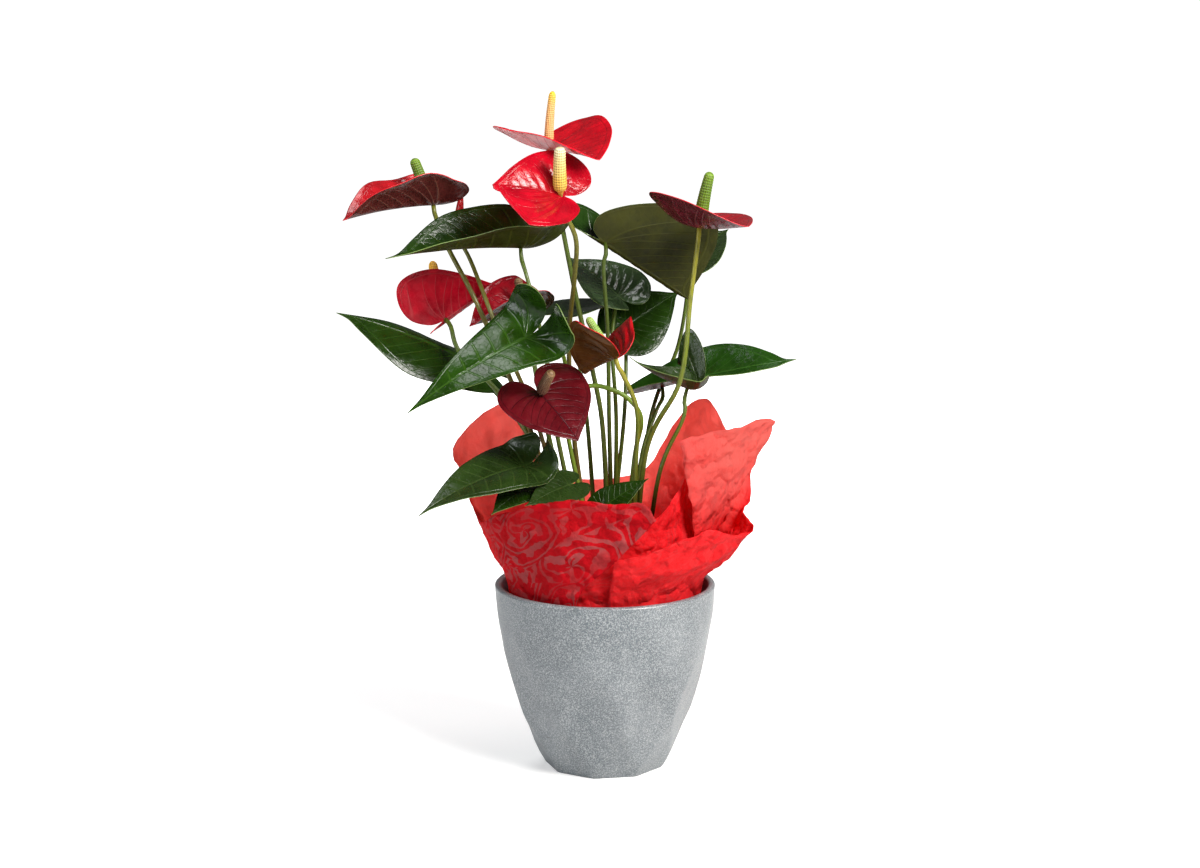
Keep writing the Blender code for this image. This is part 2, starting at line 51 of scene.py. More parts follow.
POT_HEIGHT = 131.0
POT_PROFILE = ((0, 42.5), (5, 46.5), (23, 55.2), (64, 67.6), (109, 75.8), (131, 77.5))
POT_WALL = 5.0
POT_FLOOR = 7.0
FLATS_PER_ROW = 9
# Rows of flats: height, tilt in degrees, depth as a share of the radius. They are deeper than the CAD's.
FLAT_ROWS = ((15, -27, 0.935), (46, -18, 0.956))
FLAT_EDGE = 0.14  # how softly the flats run into each other
FLATS_END = 84  # height above which the pot is round

NURSERY_BOTTOM = 7.3
MIX_TOP = 112.3
MIX_RADIUS = 55.0
MIX_CROWN = 2.6  # how far the mix's middle rises over its edge
MIX_EDGE_DROP = 2.4  # how far its edge lies under MIX_TOP

ROOT_SPACING = 5.6  # the stalks leave the mix on a sunflower spiral
GOLDEN_ANGLE = 137.508

# Half outlines from the tip to the notch: along the midrib in blade lengths, across in half widths.
LEAF_OUTLINE = (
    (1.0, 0.0), (0.88, 0.1), (0.7, 0.38), (0.42, 0.76), (0.12, 1.0),
    (-0.14, 0.92), (-0.32, 0.6), (-0.36, 0.3), (-0.24, 0.09), (-0.06, 0.0),
)
SPATHE_OUTLINE = (
    (1.0, 0.0), (0.92, 0.14), (0.75, 0.46), (0.46, 0.84), (0.12, 1.0),
    (-0.18, 0.95), (-0.38, 0.66), (-0.42, 0.33), (-0.26, 0.09), (-0.05, 0.0),
)


@dataclass
class Blade:
    """A heart-shaped leaf blade or spathe. Its left half is the one on the left when looking from the
    attachment to the tip with the upper side up."""

    attach: tuple  # where the stalk meets the blade
    tip: tuple
    face: tuple  # the way the upper side looks
    widths: tuple  # left and right half widths
    fold: tuple = (15, 15)  # degrees that each half rises from the midrib
    curl: tuple = (-15, -15)  # degrees more at each margin
    arch: float = 20  # degrees that the midrib droops from the attachment to the tip
    lobes: float = 0  # degrees that the basal lobes rise
    twist: float = 0  # degrees that the tip turns about the midrib, left half up
    wave: float = 0  # height of the margin's waves
    sweep: tuple = (0, 0)  # how far each margin leans towards the tip, in blade lengths
    cup: tuple = (0, 0)  # degrees more that each basal lobe rises from the midrib
    pinch: tuple = (0, 0)  # share of each half width that is lost towards the tip


@dataclass
class Skin:
    """Colours of a blade, and how deep its quilting between the veins is, in millimetres."""

    upper: tuple
    under: tuple
    vein: tuple
    under_vein: tuple
    rough: tuple = (0.2, 0.4)  # upper side and underside
    quilt: float = 0.5
    dark: float = 0.45  # how much darker the darkest patches are
    glow: float = 0.12  # share of the light that comes through


@dataclass
class Kind:
    """What all leaves or all spathes share."""

    outline: tuple
    thickness: float
    vein_spacing: float  # in blade lengths
    coat: float  # how much clear wax lies on the upper side
    slot: str


@dataclass
class Leaf:
    name: str
    slot: int  # place on the spiral where the stalk leaves the mix
    blade: Blade
    via: tuple = ()  # points that the stalk passes through
    stalk: tuple = (1.9, 1.3)  # radius at the mix and at the blade
    skin: Skin = None
    stem: str = "green"


@dataclass
class Flower:
    name: str
    slot: int
    blade: Blade
    spadix_tip: tuple
    spadix: tuple = (4.2, 3.2)  # radius near the base and near the tip
    via: tuple = ()
    stalk: tuple = (1.9, 1.6)
    skin: Skin = None
    grains: tuple = ()  # spadix colours from the base to the tip
    stem: str = "green"


LEAF = Kind(LEAF_OUTLINE, 0.55, 0.125, 0.0, "leaf_green")
SPATHE = Kind(SPATHE_OUTLINE, 0.6, 0.15, 0.2, "spathe_red")
LEAF_EDGE = (0.16, 0.24, 0.06)

GREEN = Skin((0.012, 0.038, 0.002), (0.036, 0.046, 0.003), (0.022, 0.060, 0.004), (0.055, 0.066, 0.006),
             (0.2, 0.45), 0.4)
GLOSSY = Skin((0.014, 0.050, 0.002), (0.036, 0.046, 0.003), (0.028, 0.080, 0.005), (0.055, 0.066, 0.006),
              (0.19, 0.4), 0.3)
OLIVE = Skin((0.012, 0.038, 0.003), (0.034, 0.036, 0.002), (0.022, 0.058, 0.006), (0.050, 0.052, 0.004),
             (0.2, 0.5), 0.4)
# Pale greyish greens: the leaf's own green with a painted whitish sheen mixed in, standing in for the
# reflection on its glossy surface.
GREEN_WITH_PAINTED_SHEEN = Skin((0.045, 0.085, 0.030), (0.060, 0.085, 0.030), (0.07, 0.12, 0.045), (0.09, 0.12, 0.045),
             (0.08, 0.3), 0.9)
MUTED = Skin((0.020, 0.044, 0.007), (0.042, 0.052, 0.008), (0.034, 0.064, 0.012), (0.060, 0.07, 0.014),
             (0.24, 0.45), 0.4)
RUSTY = Skin((0.018, 0.070, 0.006), (0.050, 0.012, 0.007), (0.030, 0.095, 0.012), (0.08, 0.03, 0.015),
             (0.18, 0.28))

LEAVES = (
    Leaf("upper_left", 7,
         Blade((-58, 0, 366), (-147, -44, 363), (0, 0, 1), (32, 36), (48, 66), (-22, -10), 12, 40, 0, 2,
               (-0.16, 0.12), (10, 0)),
         ((-34, 0, 239), (-40, 0, 285), (-47, -10, 322), (-54, -6, 348)), skin=GREEN),
    Leaf("front_left", 2,
         Blade((-54, -41, 309), (-131, -80, 264), (0.1, -0.62, 0.78), (30, 30), (14, 10), (-26, -20), 22,
               100, 0, 2, (-0.3, -0.26), (10, 30)),
         ((-26, 4, 235), (-27, 5, 272), (-31, -3, 295)), skin=GLOSSY, stem="bright"),
    Leaf("far_left", 22,
         Blade((-94, 36, 281), (-186, 2, 321), (0.1, -0.7, 0.7), (32, 19), (12, -40), (-22, -10), 20, 0, 0,
               2, (0.3, 0)),
         ((-48, 26, 215), (-74, 42, 254)), skin=GREEN),
    Leaf("low_left", 12,
         Blade((-56, -30, 219), (-124, -85, 196), (-0.2, -0.45, 0.87), (25, 25), (10, 26), (-35, -18), 26,
               110, 0, 1, (0, 0), (30, 30)),
         ((-45, -14, 198),), (1.7, 1.4), skin=MUTED),
    Leaf("inner_left", 20,
         Blade((-55, -38, 205), (-77, -58, 191), (-0.2, -0.5, 0.8), (15, 15), (12, 12), (-15, -15), 15),
         ((-36, -24, 172),), (1.5, 1.2), skin=GREEN),
    Leaf("inner_front", 15,
         Blade((-25, -36, 207), (-54, -62, 198), (0.05, -0.6, 0.8), (15, 15), (10, 16), (-15, -15), 12),
         ((-18, -26, 172),), (1.5, 1.2), skin=MUTED),
    Leaf("upper_right", 3,
         Blade((0, 13, 368), (61, 29, 326), (0.1, 1.0, 0.0), (29, 57), (135, 8), (-4, -8), 14, 0, 0, 1,
               (-0.22, 0.6)),
         ((3, 12, 239), (2, 17, 302), (-1, 9, 350)), skin=OLIVE),
    Leaf("back_high", 11,
         Blade((9, 45, 328), (-27, 72, 353), (0.05, -0.35, 0.93), (30, 28), (24, 24), (-12, -12), 15, 20),
         ((8, 24, 235), (5, 32, 292)), skin=GREEN_WITH_PAINTED_SHEEN),
    Leaf("back_right", 16,
         Blade((60, 50, 351), (89, 80, 372), (-0.1, -0.5, 0.85), (24, 24), (26, 26), (-12, -12), 18, 10),
         ((32, 51, 235), (53, 67, 290)), skin=MUTED),
    Leaf("mid_right", 19,
         Blade((16, 54, 305), (54, 80, 327), (0.1, -0.85, 0.5), (24, 26), (10, 10), (-14, -14), 14),
         ((13, 30, 236),), skin=GREEN),
    Leaf("cupped_right", 21,
         Blade((57, 2, 268), (17, -4, 291), (0.1, 0, 1.0), (27, 34), (22, 58), (4, -10), -18, 85, 0, 0,
               (-0.2, -0.85)),
         ((37, -6, 206), (54, -2, 247)), skin=MUTED),
    Leaf("far_right", 8,
         Blade((41, 49, 262), (135, 27, 285), (0, -0.25, 1.0), (22, 27), (52, 44), (-10, -15), 8, 10, 30, 0,
               (0.3, 0.35)),
         ((25, 24, 210), (36, 36, 245)), skin=RUSTY),
    Leaf("mid_back", 6,
         Blade((-28, 40, 317), (12, 60, 322), (0, -0.1, 1.0), (24, 24), (14, 14), (-12, -12), 10),
         ((-12, 22, 235), (-20, 36, 290)), skin=GREEN),
    Leaf("inner_right", 10,
         Blade((-1, -30, 191), (30, -26, 210), (0, -0.7, 0.7), (12, 12), (22, 22), (-12, -12), 10),
         ((2, -26, 160),), (1.5, 1.2), skin=GREEN),
)

CRIMSON = Skin((0.50, 0.001, 0.013), (0.50, 0.010, 0.020), (0.40, 0.004, 0.010), (0.62, 0.06, 0.06),
               (0.18, 0.25), 0.7)
# Upper side: the spathe's own crimson. Underside: pale pink, a painted reflection standing in for white glare
# at a grazing angle, not the spathe's colour.
RED_PAINTED_GLARE_UNDER = Skin((0.80, 0.001, 0.018), (0.78, 0.22, 0.24), (0.40, 0.002, 0.010), (0.62, 0.05, 0.06),
               (0.24, 0.12), 0.3, 0.35, 0.45)
TWO_TONE = Skin((0.46, 0.008, 0.014), (0.085, 0.016, 0.014), (0.3, 0.005, 0.01), (0.13, 0.045, 0.03),
                (0.18, 0.16), 1.0)
BACKLIT = Skin((0.64, 0.004, 0.024), (0.64, 0.004, 0.024), (0.26, 0.005, 0.01), (0.52, 0.05, 0.06),
               (0.2, 0.3), 0.8, 0.45, 0.3)
OXBLOOD = Skin((0.30, 0.004, 0.012), (0.045, 0.022, 0.012), (0.2, 0.004, 0.01), (0.10, 0.045, 0.025),
               (0.18, 0.18), 1.3)
DARK = Skin((0.130, 0.005, 0.010), (0.110, 0.008, 0.012), (0.05, 0.003, 0.006), (0.18, 0.02, 0.03),
            (0.21, 0.28), 1.1)
BRONZE = Skin((0.52, 0.004, 0.010), (0.130, 0.052, 0.012), (0.36, 0.006, 0.008), (0.15, 0.07, 0.03),
              (0.17, 0.18), 1.5)
WINE = Skin((0.40, 0.008, 0.016), (0.110, 0.008, 0.018), (0.28, 0.005, 0.01), (0.17, 0.03, 0.035),
            (0.20, 0.22), 0.9)

# Spadix colours from the base to the tip.
LIME = ((0.20, 0.30, 0.02), (0.13, 0.25, 0.012), (0.11, 0.22, 0.010), (0.17, 0.31, 0.015))
PEACH = ((0.80, 0.42, 0.16), (0.86, 0.50, 0.20), (0.88, 0.52, 0.18), (0.93, 0.58, 0.02))
CREAM = ((0.62, 0.36, 0.05), (0.72, 0.48, 0.08), (0.80, 0.66, 0.28), (0.86, 0.80, 0.52))
AMBER = ((0.70, 0.30, 0.03), (0.80, 0.38, 0.03), (0.85, 0.44, 0.03), (0.90, 0.50, 0.05))
SMOKE = ((0.10, 0.03, 0.02), (0.14, 0.06, 0.03), (0.22, 0.12, 0.06), (0.26, 0.15, 0.07))
PALE_LIME = ((0.40, 0.48, 0.12), (0.34, 0.50, 0.11), (0.28, 0.48, 0.10), (0.38, 0.56, 0.14))

FLOWERS = (
    Flower("top_back", 0,
           Blade((-39, 20, 432), (-4, -32, 428), (0, 0, 1), (44, 44), (26, 38), (14, -26), 6, 6, 0, 1),
           (-36, 22, 472), (3.2, 2.4), ((-1, 8, 231), (-9, 10, 281), (-21, 14, 335)), skin=RED_PAINTED_GLARE_UNDER,
           grains=PEACH),
    Flower("top_front", 1,
           Blade((-30, -32, 404.5), (-75, -49, 412.5), (0.1, -0.8, 0.55), (36, 34), (18, 8), (4, -14), 24,
                 16, 0, 1, (0.5, -0.12), (0, 0), (0.8, 0)),
           (-30, -41, 437), (4.6, 3.6), ((-22, 12, 234), (-25, 11, 301), (-21, -8, 346), (-20, -23, 375)),
           skin=CRIMSON, grains=CREAM, stem="brown"),
    Flower("upper_left", 4,
           Blade((-118, 6, 395), (-177, -26, 387), (0, 0, 1), (32, 30), (64, 54), (-26, -12), 14, 16, 0, 2,
                 (0.14, 0.14)),
           (-131, 4, 427), (4.2, 3.4), ((-52, -4, 240), (-86, -7, 324), (-108, 6, 365)), skin=TWO_TONE,
           grains=LIME, stem="brown"),
    Flower("mid_left", 17,
           Blade((-112, 28, 313), (-77, 44, 336), (0, 0.9, 0.4), (14, 42), (84, 4), (5, 10), 8, 12, 0, 0,
                 (0.3, -0.24)),
           (-123, 58, 351), (4.0, 3.2), ((-49, 4, 224), (-73, 6, 263), (-101, 14, 291)), skin=BACKLIT,
           grains=AMBER),
    Flower("centre", 14,
           Blade((-54, 24, 317), (-94, 5, 311), (0, 0, 1), (34, 34), (48, 60), (-14, -8), 12, 24),
           (-61, 22, 343), (3.4, 2.8), ((-39, 10, 231), (-49, 22, 278)), skin=OXBLOOD, grains=SMOKE),
    Flower("low_front", 5,
           Blade((-44, -30, 269), (-18, -55, 241), (0.3, -0.72, 0.6), (36, 32), (10, 10), (-14, -14), 14, 0,
                 0, 0, (-0.1, 0)),
           (-36, -48, 287), (4.0, 3.2),
           ((20, -2, 215), (25, -8, 247), (17, -11, 262), (3, -12, 270), (-12, -13, 272)), skin=DARK,
           grains=SMOKE, stem="bright"),
    Flower("mid_right", 18,
           Blade((7, -26, 293), (-14, -4, 279), (0, 0, 1), (40, 36), (48, 52), (8, 4), 10, 20, 0, 1),
           (-12, -23, 321), (3.2, 2.7), ((21, -12, 213), (22, -18, 255), (12, -25, 282)), skin=BRONZE,
           grains=PALE_LIME, stem="yellow"),
    Flower("right", 13,
           Blade((64, -12, 381), (95, -50, 385), (0, 0, 1), (34, 50), (12, 34), (6, 0), -10, 16),
           (71, -16, 419), (4.7, 3.4), ((28, -12, 224), (51, -28, 278), (58, -18, 332)), skin=WINE,
           grains=LIME, stem="yellow"),
)
BUD_SLOT = 9
BUD_VIA = ((-45, -4, 238), (-73, -16, 310), (-92, 5, 355))
BUD_ATTACH = (-102, 14, 378)
BUD_TIP = (-99, 14, 402)
BUD_RADII = (1.8, 3.4, 3.2, 2.4, 1.2)

# The sheets' columns, counter-clockwise seen from above: degrees and radius at the pot's rim, then the
# point on the free top edge, and how far the sheet bulges outwards half-way up.
MAIN_SHEET = (
    (-138, 64, (-54, -50, 172), 0), (-112, 65, (-26, -68, 176), 1), (-84, 65, (8, -74, 180), 0),
    (-58, 65, (35, -60, 190), 0), (-36, 64.5, (51, -38, 206), 0), (-16, 64.5, (62, -12, 222), -1),
    (6, 65, (82, 10, 226), 0), (24, 65, (86, 38, 232), 3), (40, 65, (72, 60, 252), 0),
    (56, 65, (52, 76, 232), -2), (70, 65, (30, 84, 196), 2), (92, 66, (0, 86, 188), 0),
    (112, 66, (-32, 84, 192), -2), (126, 66, (-54, 76, 218), 0), (138, 66, (-66, 74, 247), 3),
    (152, 66, (-90, 54, 240), 0), (163, 67, (-108, 34, 220), -2), (173, 67, (-98, 12, 200), 0),
    (181, 68, (-94, -1, 190), 0), (190, 69, (-86, -12, 177), 1), (204, 69, (-76, -38, 186), 1),
    (218, 69, (-60, -62, 195), 0), (230, 69, (-40, -77, 203), 2), (240, 69, (-18, -85, 207), 3),
    (248, 69, (6, -88, 204), 0), (252, 69, (24, -89, 206), 0), (254, 69, (34, -89, 194), 0),
)
FRONT_SHEET = (
    (-88, 67.8, (6, -80, 163), 1), (-74, 67.8, (30, -83, 170), 2), (-60, 67.8, (52, -78, 178), 3),
    (-46, 67.8, (72, -64, 181), 3), (-32, 67.8, (88, -44, 174), 3), (-18, 68.3, (103, -20, 174), 2),
    (-6, 68.8, (98, 2, 180), 0), (2, 69.3, (103, 15, 190), 0), (12, 68.8, (104, 14, 214), 0),
    (16, 67.8, (118, 6, 245), 0), (2, 67.6, (88, -34, 247), 0), (-16, 67.5, (50, -58, 242), 2),
)


# ---------------------------------------------------------------- curves

def catmull(points, at):
    """Smooth curve through points: position at each parameter, where whole numbers are the points."""
    points = np.asarray(points, float)
    padded = np.vstack([2 * points[0] - points[1], points, 2 * points[-1] - points[-2]])
    k = np.clip(at.astype(int), 0, len(points) - 2)
    t = (at - k)[:, None]
    a, b, c, d = (padded[k + i] for i in range(4))
    return b + t / 2 * (c - a + t * (2 * a - 5 * b + 4 * c - d + t * (3 * (b - c) + d - a)))


def summed(steps):
    """Running totals of the steps, from 0."""
    return np.concatenate([[0], np.cumsum(steps)])


def resample(points, count, dense=24):
    """Evenly spaced points along the smooth curve through points."""
    fine = catmull(points, np.linspace(0, len(points) - 1, dense * (len(points) - 1) + 1))
    along = summed(np.linalg.norm(np.diff(fine, axis=0), axis=1))
    at = np.linspace(0, along[-1], count)
    return np.stack([np.interp(at, along, fine[:, i]) for i in range(3)], axis=1)


def unit(vector):
    vector = np.asarray(vector, float)
    return vector / np.linalg.norm(vector)


def wobble(points, size, seed=0.0):
    """Smooth noise from -1 to 1 at each point, with lumps about size across."""
    shift = Vector((seed, 7.3, -2.1))
    return np.array([noise.noise(Vector(p / size) + shift) for p in np.asarray(points, float)])


# ---------------------------------------------------------------- materials

class Nodes:
    """Short calls that add a node to a tree and return one of its outputs."""

    def __init__(self, tree):
        self.tree = tree

    def put(self, socket, value):
        """Links or sets a socket."""
        if isinstance(value, bpy.types.NodeSocket):
            self.tree.links.new(value, socket)
        elif isinstance(value, tuple) and len(value) == 3 and socket.type == "RGBA":
            socket.default_value = (*value, 1)
        else:
            socket.default_value = value

    def add(self, kind, inputs, output=0, **settings):
        made = self.tree.nodes.new("ShaderNode" + kind)
        for key, value in settings.items():
            setattr(made, key, value)
        for key, value in inputs.items():
            self.put(made.inputs[key], value)
        return made.outputs[output]

    def math(self, operation, *values):
        return self.add("Math", dict(enumerate(values)), operation=operation)

    def times(self, *values):
        return self.math("MULTIPLY", *values)

    def plus(self, *values):
        return self.math("ADD", *values)

    def minus(self, *values):
        return self.math("SUBTRACT", *values)

    def crest(self, field):
        """How far a noise is from its middle value: a sharp valley along its contours."""
        return self.math("ABSOLUTE", self.minus(field, 0.5))

    def length(self, x, y):
        return self.math("SQRT", self.plus(self.times(x, x), self.times(y, y)))

    def attribute(self, name, part="Vector"):
        return self.add("Attribute", {}, part, attribute_name=name)

    def split(self, vector):
        return self.add("SeparateXYZ", {0: vector}, slice(3))

    def place(self):
        """The point on the object, in metres."""
        return self.add("TexCoord", {}, "Object")

    def vector(self, operation, first, second):
        return self.add("VectorMath", {0: first, 1: second}, operation=operation)

    def scaled(self, vector, scale):
        return self.add("VectorMath", {0: vector, "Scale": scale}, operation="SCALE")

    def stretched(self, vector, scale):
        """The vector with each part multiplied by its own number."""
        return self.add("Mapping", {"Vector": vector, "Scale": scale})

    def noise(self, size, vector=None, detail=3.0, roughness=0.5, distortion=0.0, output="Fac"):
        """Cloudy noise with features about size metres across."""
        return self.add("TexNoise", {"Vector": vector or self.place(), "Scale": 1 / size, "Detail": detail,
                                     "Roughness": roughness, "Distortion": distortion}, output)

    def cells(self, size, feature="F1", vector=None, output="Distance"):
        """Scattered points about size metres apart, and the cells round them."""
        return self.add("TexVoronoi", {"Vector": vector or self.place(), "Scale": 1 / size}, output,
                        feature=feature)

    def span(self, value, low, high, to_low=0.0, to_high=1.0, smooth=True):
        """Turns low to high into to_low to to_high, and stays there outside."""
        return self.add("MapRange", dict(enumerate((value, low, high, to_low, to_high))),
                        interpolation_type="SMOOTHSTEP" if smooth else "LINEAR")

    def mix(self, share, first, second, kind="MIX"):
        return self.add("Mix", {0: share, 6: first, 7: second}, 2, data_type="RGBA", blend_type=kind)

    def ramp(self, share, stops):
        """A colour for each share, from stops of share and colour."""
        colour = self.add("ValToRGB", {0: share})
        elements = colour.node.color_ramp.elements
        while len(elements) < len(stops):
            elements.new(0.5)
        for element, (at, shade) in zip(elements, stops):
            element.position = at
            element.color = (*shade, 1)
        return colour


class Paint(Nodes):
    """One material, built by the same calls."""

    def __init__(self, name):
        self.material = bpy.data.materials.new(name)
        self.material.use_nodes = True
        super().__init__(self.material.node_tree)
        self.shader = self.tree.nodes["Principled BSDF"]

    def bump(self, *heights):
        """Chains bumps: each is (height, metres that it stands for)."""
        before = {}
        for height, distance in heights:
            normal = self.add("Bump", {"Strength": 1.0, "Distance": distance, "Height": height, **before})
            before = {"Normal": normal}
        return normal

    def finish(self, colour, roughness, normal=None, **others):
        inputs = {"Base Color": colour, "Roughness": roughness}
        if normal is not None:
            inputs["Normal"] = normal
        inputs.update((name.replace("_", " "), value) for name, value in others.items())
        for name, value in inputs.items():
            self.put(self.shader.inputs[name], value)
        return self.material

    def let_through(self, colour, share):
        """Lets some of the light through to the other side, in that colour."""
        through = self.add("BsdfTranslucent", {"Color": colour})
        mixed = self.add("MixShader", {0: share, 1: self.shader.outputs[0], 2: through})
        self.put(self.tree.nodes["Material Output"].inputs["Surface"], mixed)
        return self.material


# ---------------------------------------------------------------- meshes

def add_mesh(name, points, faces, *finishes, smooth=True):
    """One object from points in millimetres."""
    mesh = bpy.data.meshes.new(name)
    mesh.from_pydata((np.asarray(points) * MM).tolist(), [], [list(map(int, f)) for f in faces])
    for finish in finishes:
        mesh.materials.append(finish)
    if smooth:
        mesh.shade_smooth()
    made = bpy.data.objects.new(name, mesh)
    bpy.context.scene.collection.objects.link(made)
    return made


def normals_of(made):
    return np.array([v.normal for v in made.data.vertices])


def move_to(made, points):
    made.data.vertices.foreach_set("co", (points * MM).ravel())


def store(made, name, values):
    """Keeps a number or a vector at each point for the materials to read."""
    values = np.asarray(values, np.float32)
    vector = values.ndim == 2
    kept = made.data.attributes.new(name, "FLOAT_VECTOR" if vector else "FLOAT", "POINT")
    kept.data.foreach_set("vector" if vector else "value", values.ravel())


def thicken(made, thickness, other_side=0, rim=0):
    """Gives a sheet its thickness, half to each side, with the material numbers of its back and its rim."""
    modifier = made.modifiers.new("thickness", "SOLIDIFY")
    modifier.thickness = thickness * MM
    modifier.offset = 0
    modifier.use_rim = True
    modifier.material_offset = other_side
    modifier.material_offset_rim = rim


def around(sides):
    """Angles of the sides of a ring."""
    return np.linspace(0, 2 * math.pi, sides, endpoint=False)


def ring_faces(rings, sides, closed=True):
    """Quads between rings of points, the rings one after another, facing out as the rings go up."""
    last = sides if closed else sides - 1
    return [
        (r * sides + i, r * sides + (i + 1) % sides, (r + 1) * sides + (i + 1) % sides, (r + 1) * sides + i)
        for r in range(rings - 1)
        for i in range(last)
    ]


def turned_points(profile, sides):
    """Rings from rows of height and radius, or of height and one radius for each side."""
    angles = around(sides)
    return np.vstack([
        np.stack([radius * np.cos(angles), radius * np.sin(angles), np.full(sides, float(height))], axis=1)
        for height, radius in profile
    ])


def capped(rings, sides):
    """Faces of a closed solid made of rings, with one face on each end."""
    ends = [tuple(range(sides))[::-1], tuple(range((rings - 1) * sides, rings * sides))]
    return ring_faces(rings, sides) + ends


def tube_points(path, radii, sides):
    """Rings round a path. Radii is one number or one row of numbers for each point of the path."""
    path = np.asarray(path, float)
    tangents = np.gradient(path, axis=0)
    tangents /= np.linalg.norm(tangents, axis=1)[:, None]
    across = unit(np.cross(tangents[0], (0.3, 0.9, 0.1)))
    turns = around(sides)
    rings = []
    for point, tangent, radius in zip(path, tangents, radii):
        across = unit(across - tangent * across.dot(tangent))
        up = np.cross(tangent, across)
        ring = np.outer(np.cos(turns), across) + np.outer(np.sin(turns), up)
        rings.append(point + np.reshape(radius, (-1, 1)) * ring)
    return np.vstack(rings)


def add_tube(name, path, radii, sides, finish):
    """A closed tube round a path."""
    return add_mesh(name, tube_points(path, radii, sides), capped(len(path), sides), finish)


def piece(made, slot, *nodes):
    """Hangs a piece on the root body and hides the CAD nodes that it stands for. Slot, its finish, is not
    used.
    """
    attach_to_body(made, "root")
    if nodes:
        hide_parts(*nodes)


# ---------------------------------------------------------------- ceramic pot

def profile_radius(height):
    """The pot's outer radius: straight in the foot's chamfer, a smooth curve above it."""
    profile = np.array(POT_PROFILE, float)
    if height > profile[1, 0]:
        profile = catmull(profile, np.linspace(0, len(profile) - 1, 80))
    return float(np.interp(height, profile[:, 0], profile[:, 1]))


def pressed(height, radius, sides):
    """The ring's radii with the lower half's flats pressed in, their edges softened."""
    angles = around(sides)
    total = np.exp(-np.full(sides, float(radius)) / FLAT_EDGE)
    for row, (centre, tilt, depth) in enumerate(FLAT_ROWS):
        reach = depth * float(np.interp(centre, *zip(*POT_PROFILE)))
        reach -= math.tan(math.radians(tilt)) * (height - centre)
        for k in range(FLATS_PER_ROW):
            facing = np.cos(angles - 2 * math.pi * (k + 0.5 * row) / FLATS_PER_ROW)
            total += np.exp(-np.clip(reach / np.maximum(facing, 0.2), 0, 300) / FLAT_EDGE)
    return -FLAT_EDGE * np.log(total)


def glaze():
    """Blue-grey glaze with fine pale mottling, a few dark hairline marks and a soft sheen."""
    p = Paint("grey_ceramic_glaze")
    dark, pale, speck = (0.094, 0.113, 0.130), (0.148, 0.168, 0.186), (0.50, 0.52, 0.52)
    fine = p.noise(0.0009, detail=4, roughness=0.75)
    coarse = p.noise(0.011, detail=3, roughness=0.6)
    tone = p.mix(p.span(p.noise(0.045, detail=2), 0.3, 0.7), dark, pale)
    specks = p.times(p.span(fine, 0.46, 0.60, 0.0, 0.62), p.span(coarse, 0.30, 0.62, 0.78, 1.0))
    tone = p.mix(specks, tone, speck)
    pits = p.span(p.noise(0.0021, detail=2, roughness=0.4), 0.30, 0.20, 0.0, 0.45)
    tone = p.mix(pits, tone, (0.10, 0.12, 0.14))
    hair_line = p.crest(p.noise(0.030, p.stretched(p.place(), (1, 1, 3.4)), 2.0))
    rare = p.span(p.noise(0.020, detail=1), 0.66, 0.72, 0.0, 0.8)
    tone = p.mix(p.times(p.span(hair_line, 0.004, 0.0015), rare), tone, (0.035, 0.04, 0.045))
    dimples = p.noise(0.0065, detail=2)
    return p.finish(tone, p.span(fine, 0.35, 0.7, 0.30, 0.46), p.bump((dimples, 0.00025), (fine, 0.00008)),
                    Specular_IOR_Level=0.5, Coat_Weight=0.35, Coat_Roughness=0.22)


def make_ceramic_pot():
    sides, rim_depth = 216, 1.9
    heights = np.concatenate([[0, 0.7, 1.8], np.linspace(3.2, POT_HEIGHT - 2.2, 74)])
    middle = profile_radius(POT_HEIGHT) - POT_WALL / 2
    outside = [(0, 40.5)] + [(h, profile_radius(h)) for h in heights]
    rim = [(POT_HEIGHT - rim_depth + rim_depth * math.sin(a), middle + (POT_WALL / 2) * math.cos(a))
           for a in np.linspace(0, math.pi, 11)]
    inside = [(h, profile_radius(h) - POT_WALL) for h in np.linspace(POT_HEIGHT - 4, POT_FLOOR + 3, 24)]
    floor_radius = profile_radius(POT_FLOOR) - POT_WALL
    floor = [(POT_FLOOR + 0.8, floor_radius - 2.5), (POT_FLOOR, floor_radius - 7)]
    shaped = [(h, pressed(h, radius, sides) if h < FLATS_END else radius) for h, radius in outside]
    profile = shaped + rim + inside + floor

    points = turned_points(profile, sides)
    outward = points * (1, 1, 0)
    outward /= np.linalg.norm(outward, axis=1)[:, None]
    skin = np.arange(len(points)) < len(outside) * sides
    lumps = 0.6 * wobble(points, 24.0) + 0.16 * wobble(points, 9.0, 3.0)
    fade = np.clip(points[:, 2] / 6, 0, 1) * np.clip((POT_HEIGHT - 1 - points[:, 2]) / 14, 0, 1)
    points += outward * (np.where(skin, lumps * fade, 0))[:, None]
    pot = add_mesh("glazed_pot", points, capped(len(profile), sides), glaze())
    piece(pot, "grey_ceramic", "ceramic_pot")


# ---------------------------------------------------------------- nursery pot and mix

def finish_nursery_pot():
    """The CAD's own nursery pot, in matt black plastic with faint moulding lines."""
    p = Paint("nursery_black_plastic")
    grain = p.noise(0.0009, detail=2)
    lines = p.math("PINGPONG", p.split(p.place())[2], 0.0015)
    tone = p.mix(p.span(p.noise(0.02), 0.3, 0.7), (0.012, 0.012, 0.012), (0.028, 0.027, 0.025))
    normal = p.bump((grain, 0.00006), (lines, 0.15))
    made = p.finish(tone, p.span(grain, 0.3, 0.7, 0.42, 0.6), normal, Specular_IOR_Level=0.4)
    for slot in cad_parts["nursery_pot"].material_slots:
        slot.material = made


def soil():
    """Damp, dark, crumbly peat."""
    p = Paint("potting_mix_peat")
    crumbs = p.noise(0.0016, detail=5, roughness=0.7)
    tone = p.ramp(p.noise(0.004, detail=4, roughness=0.65),
                  ((0.25, (0.010, 0.006, 0.004)), (0.5, (0.040, 0.022, 0.012)),
                   (0.75, (0.095, 0.055, 0.030))))
    return p.finish(tone, 0.95, p.bump((crumbs, 0.0012)), Specular_IOR_Level=0.2)


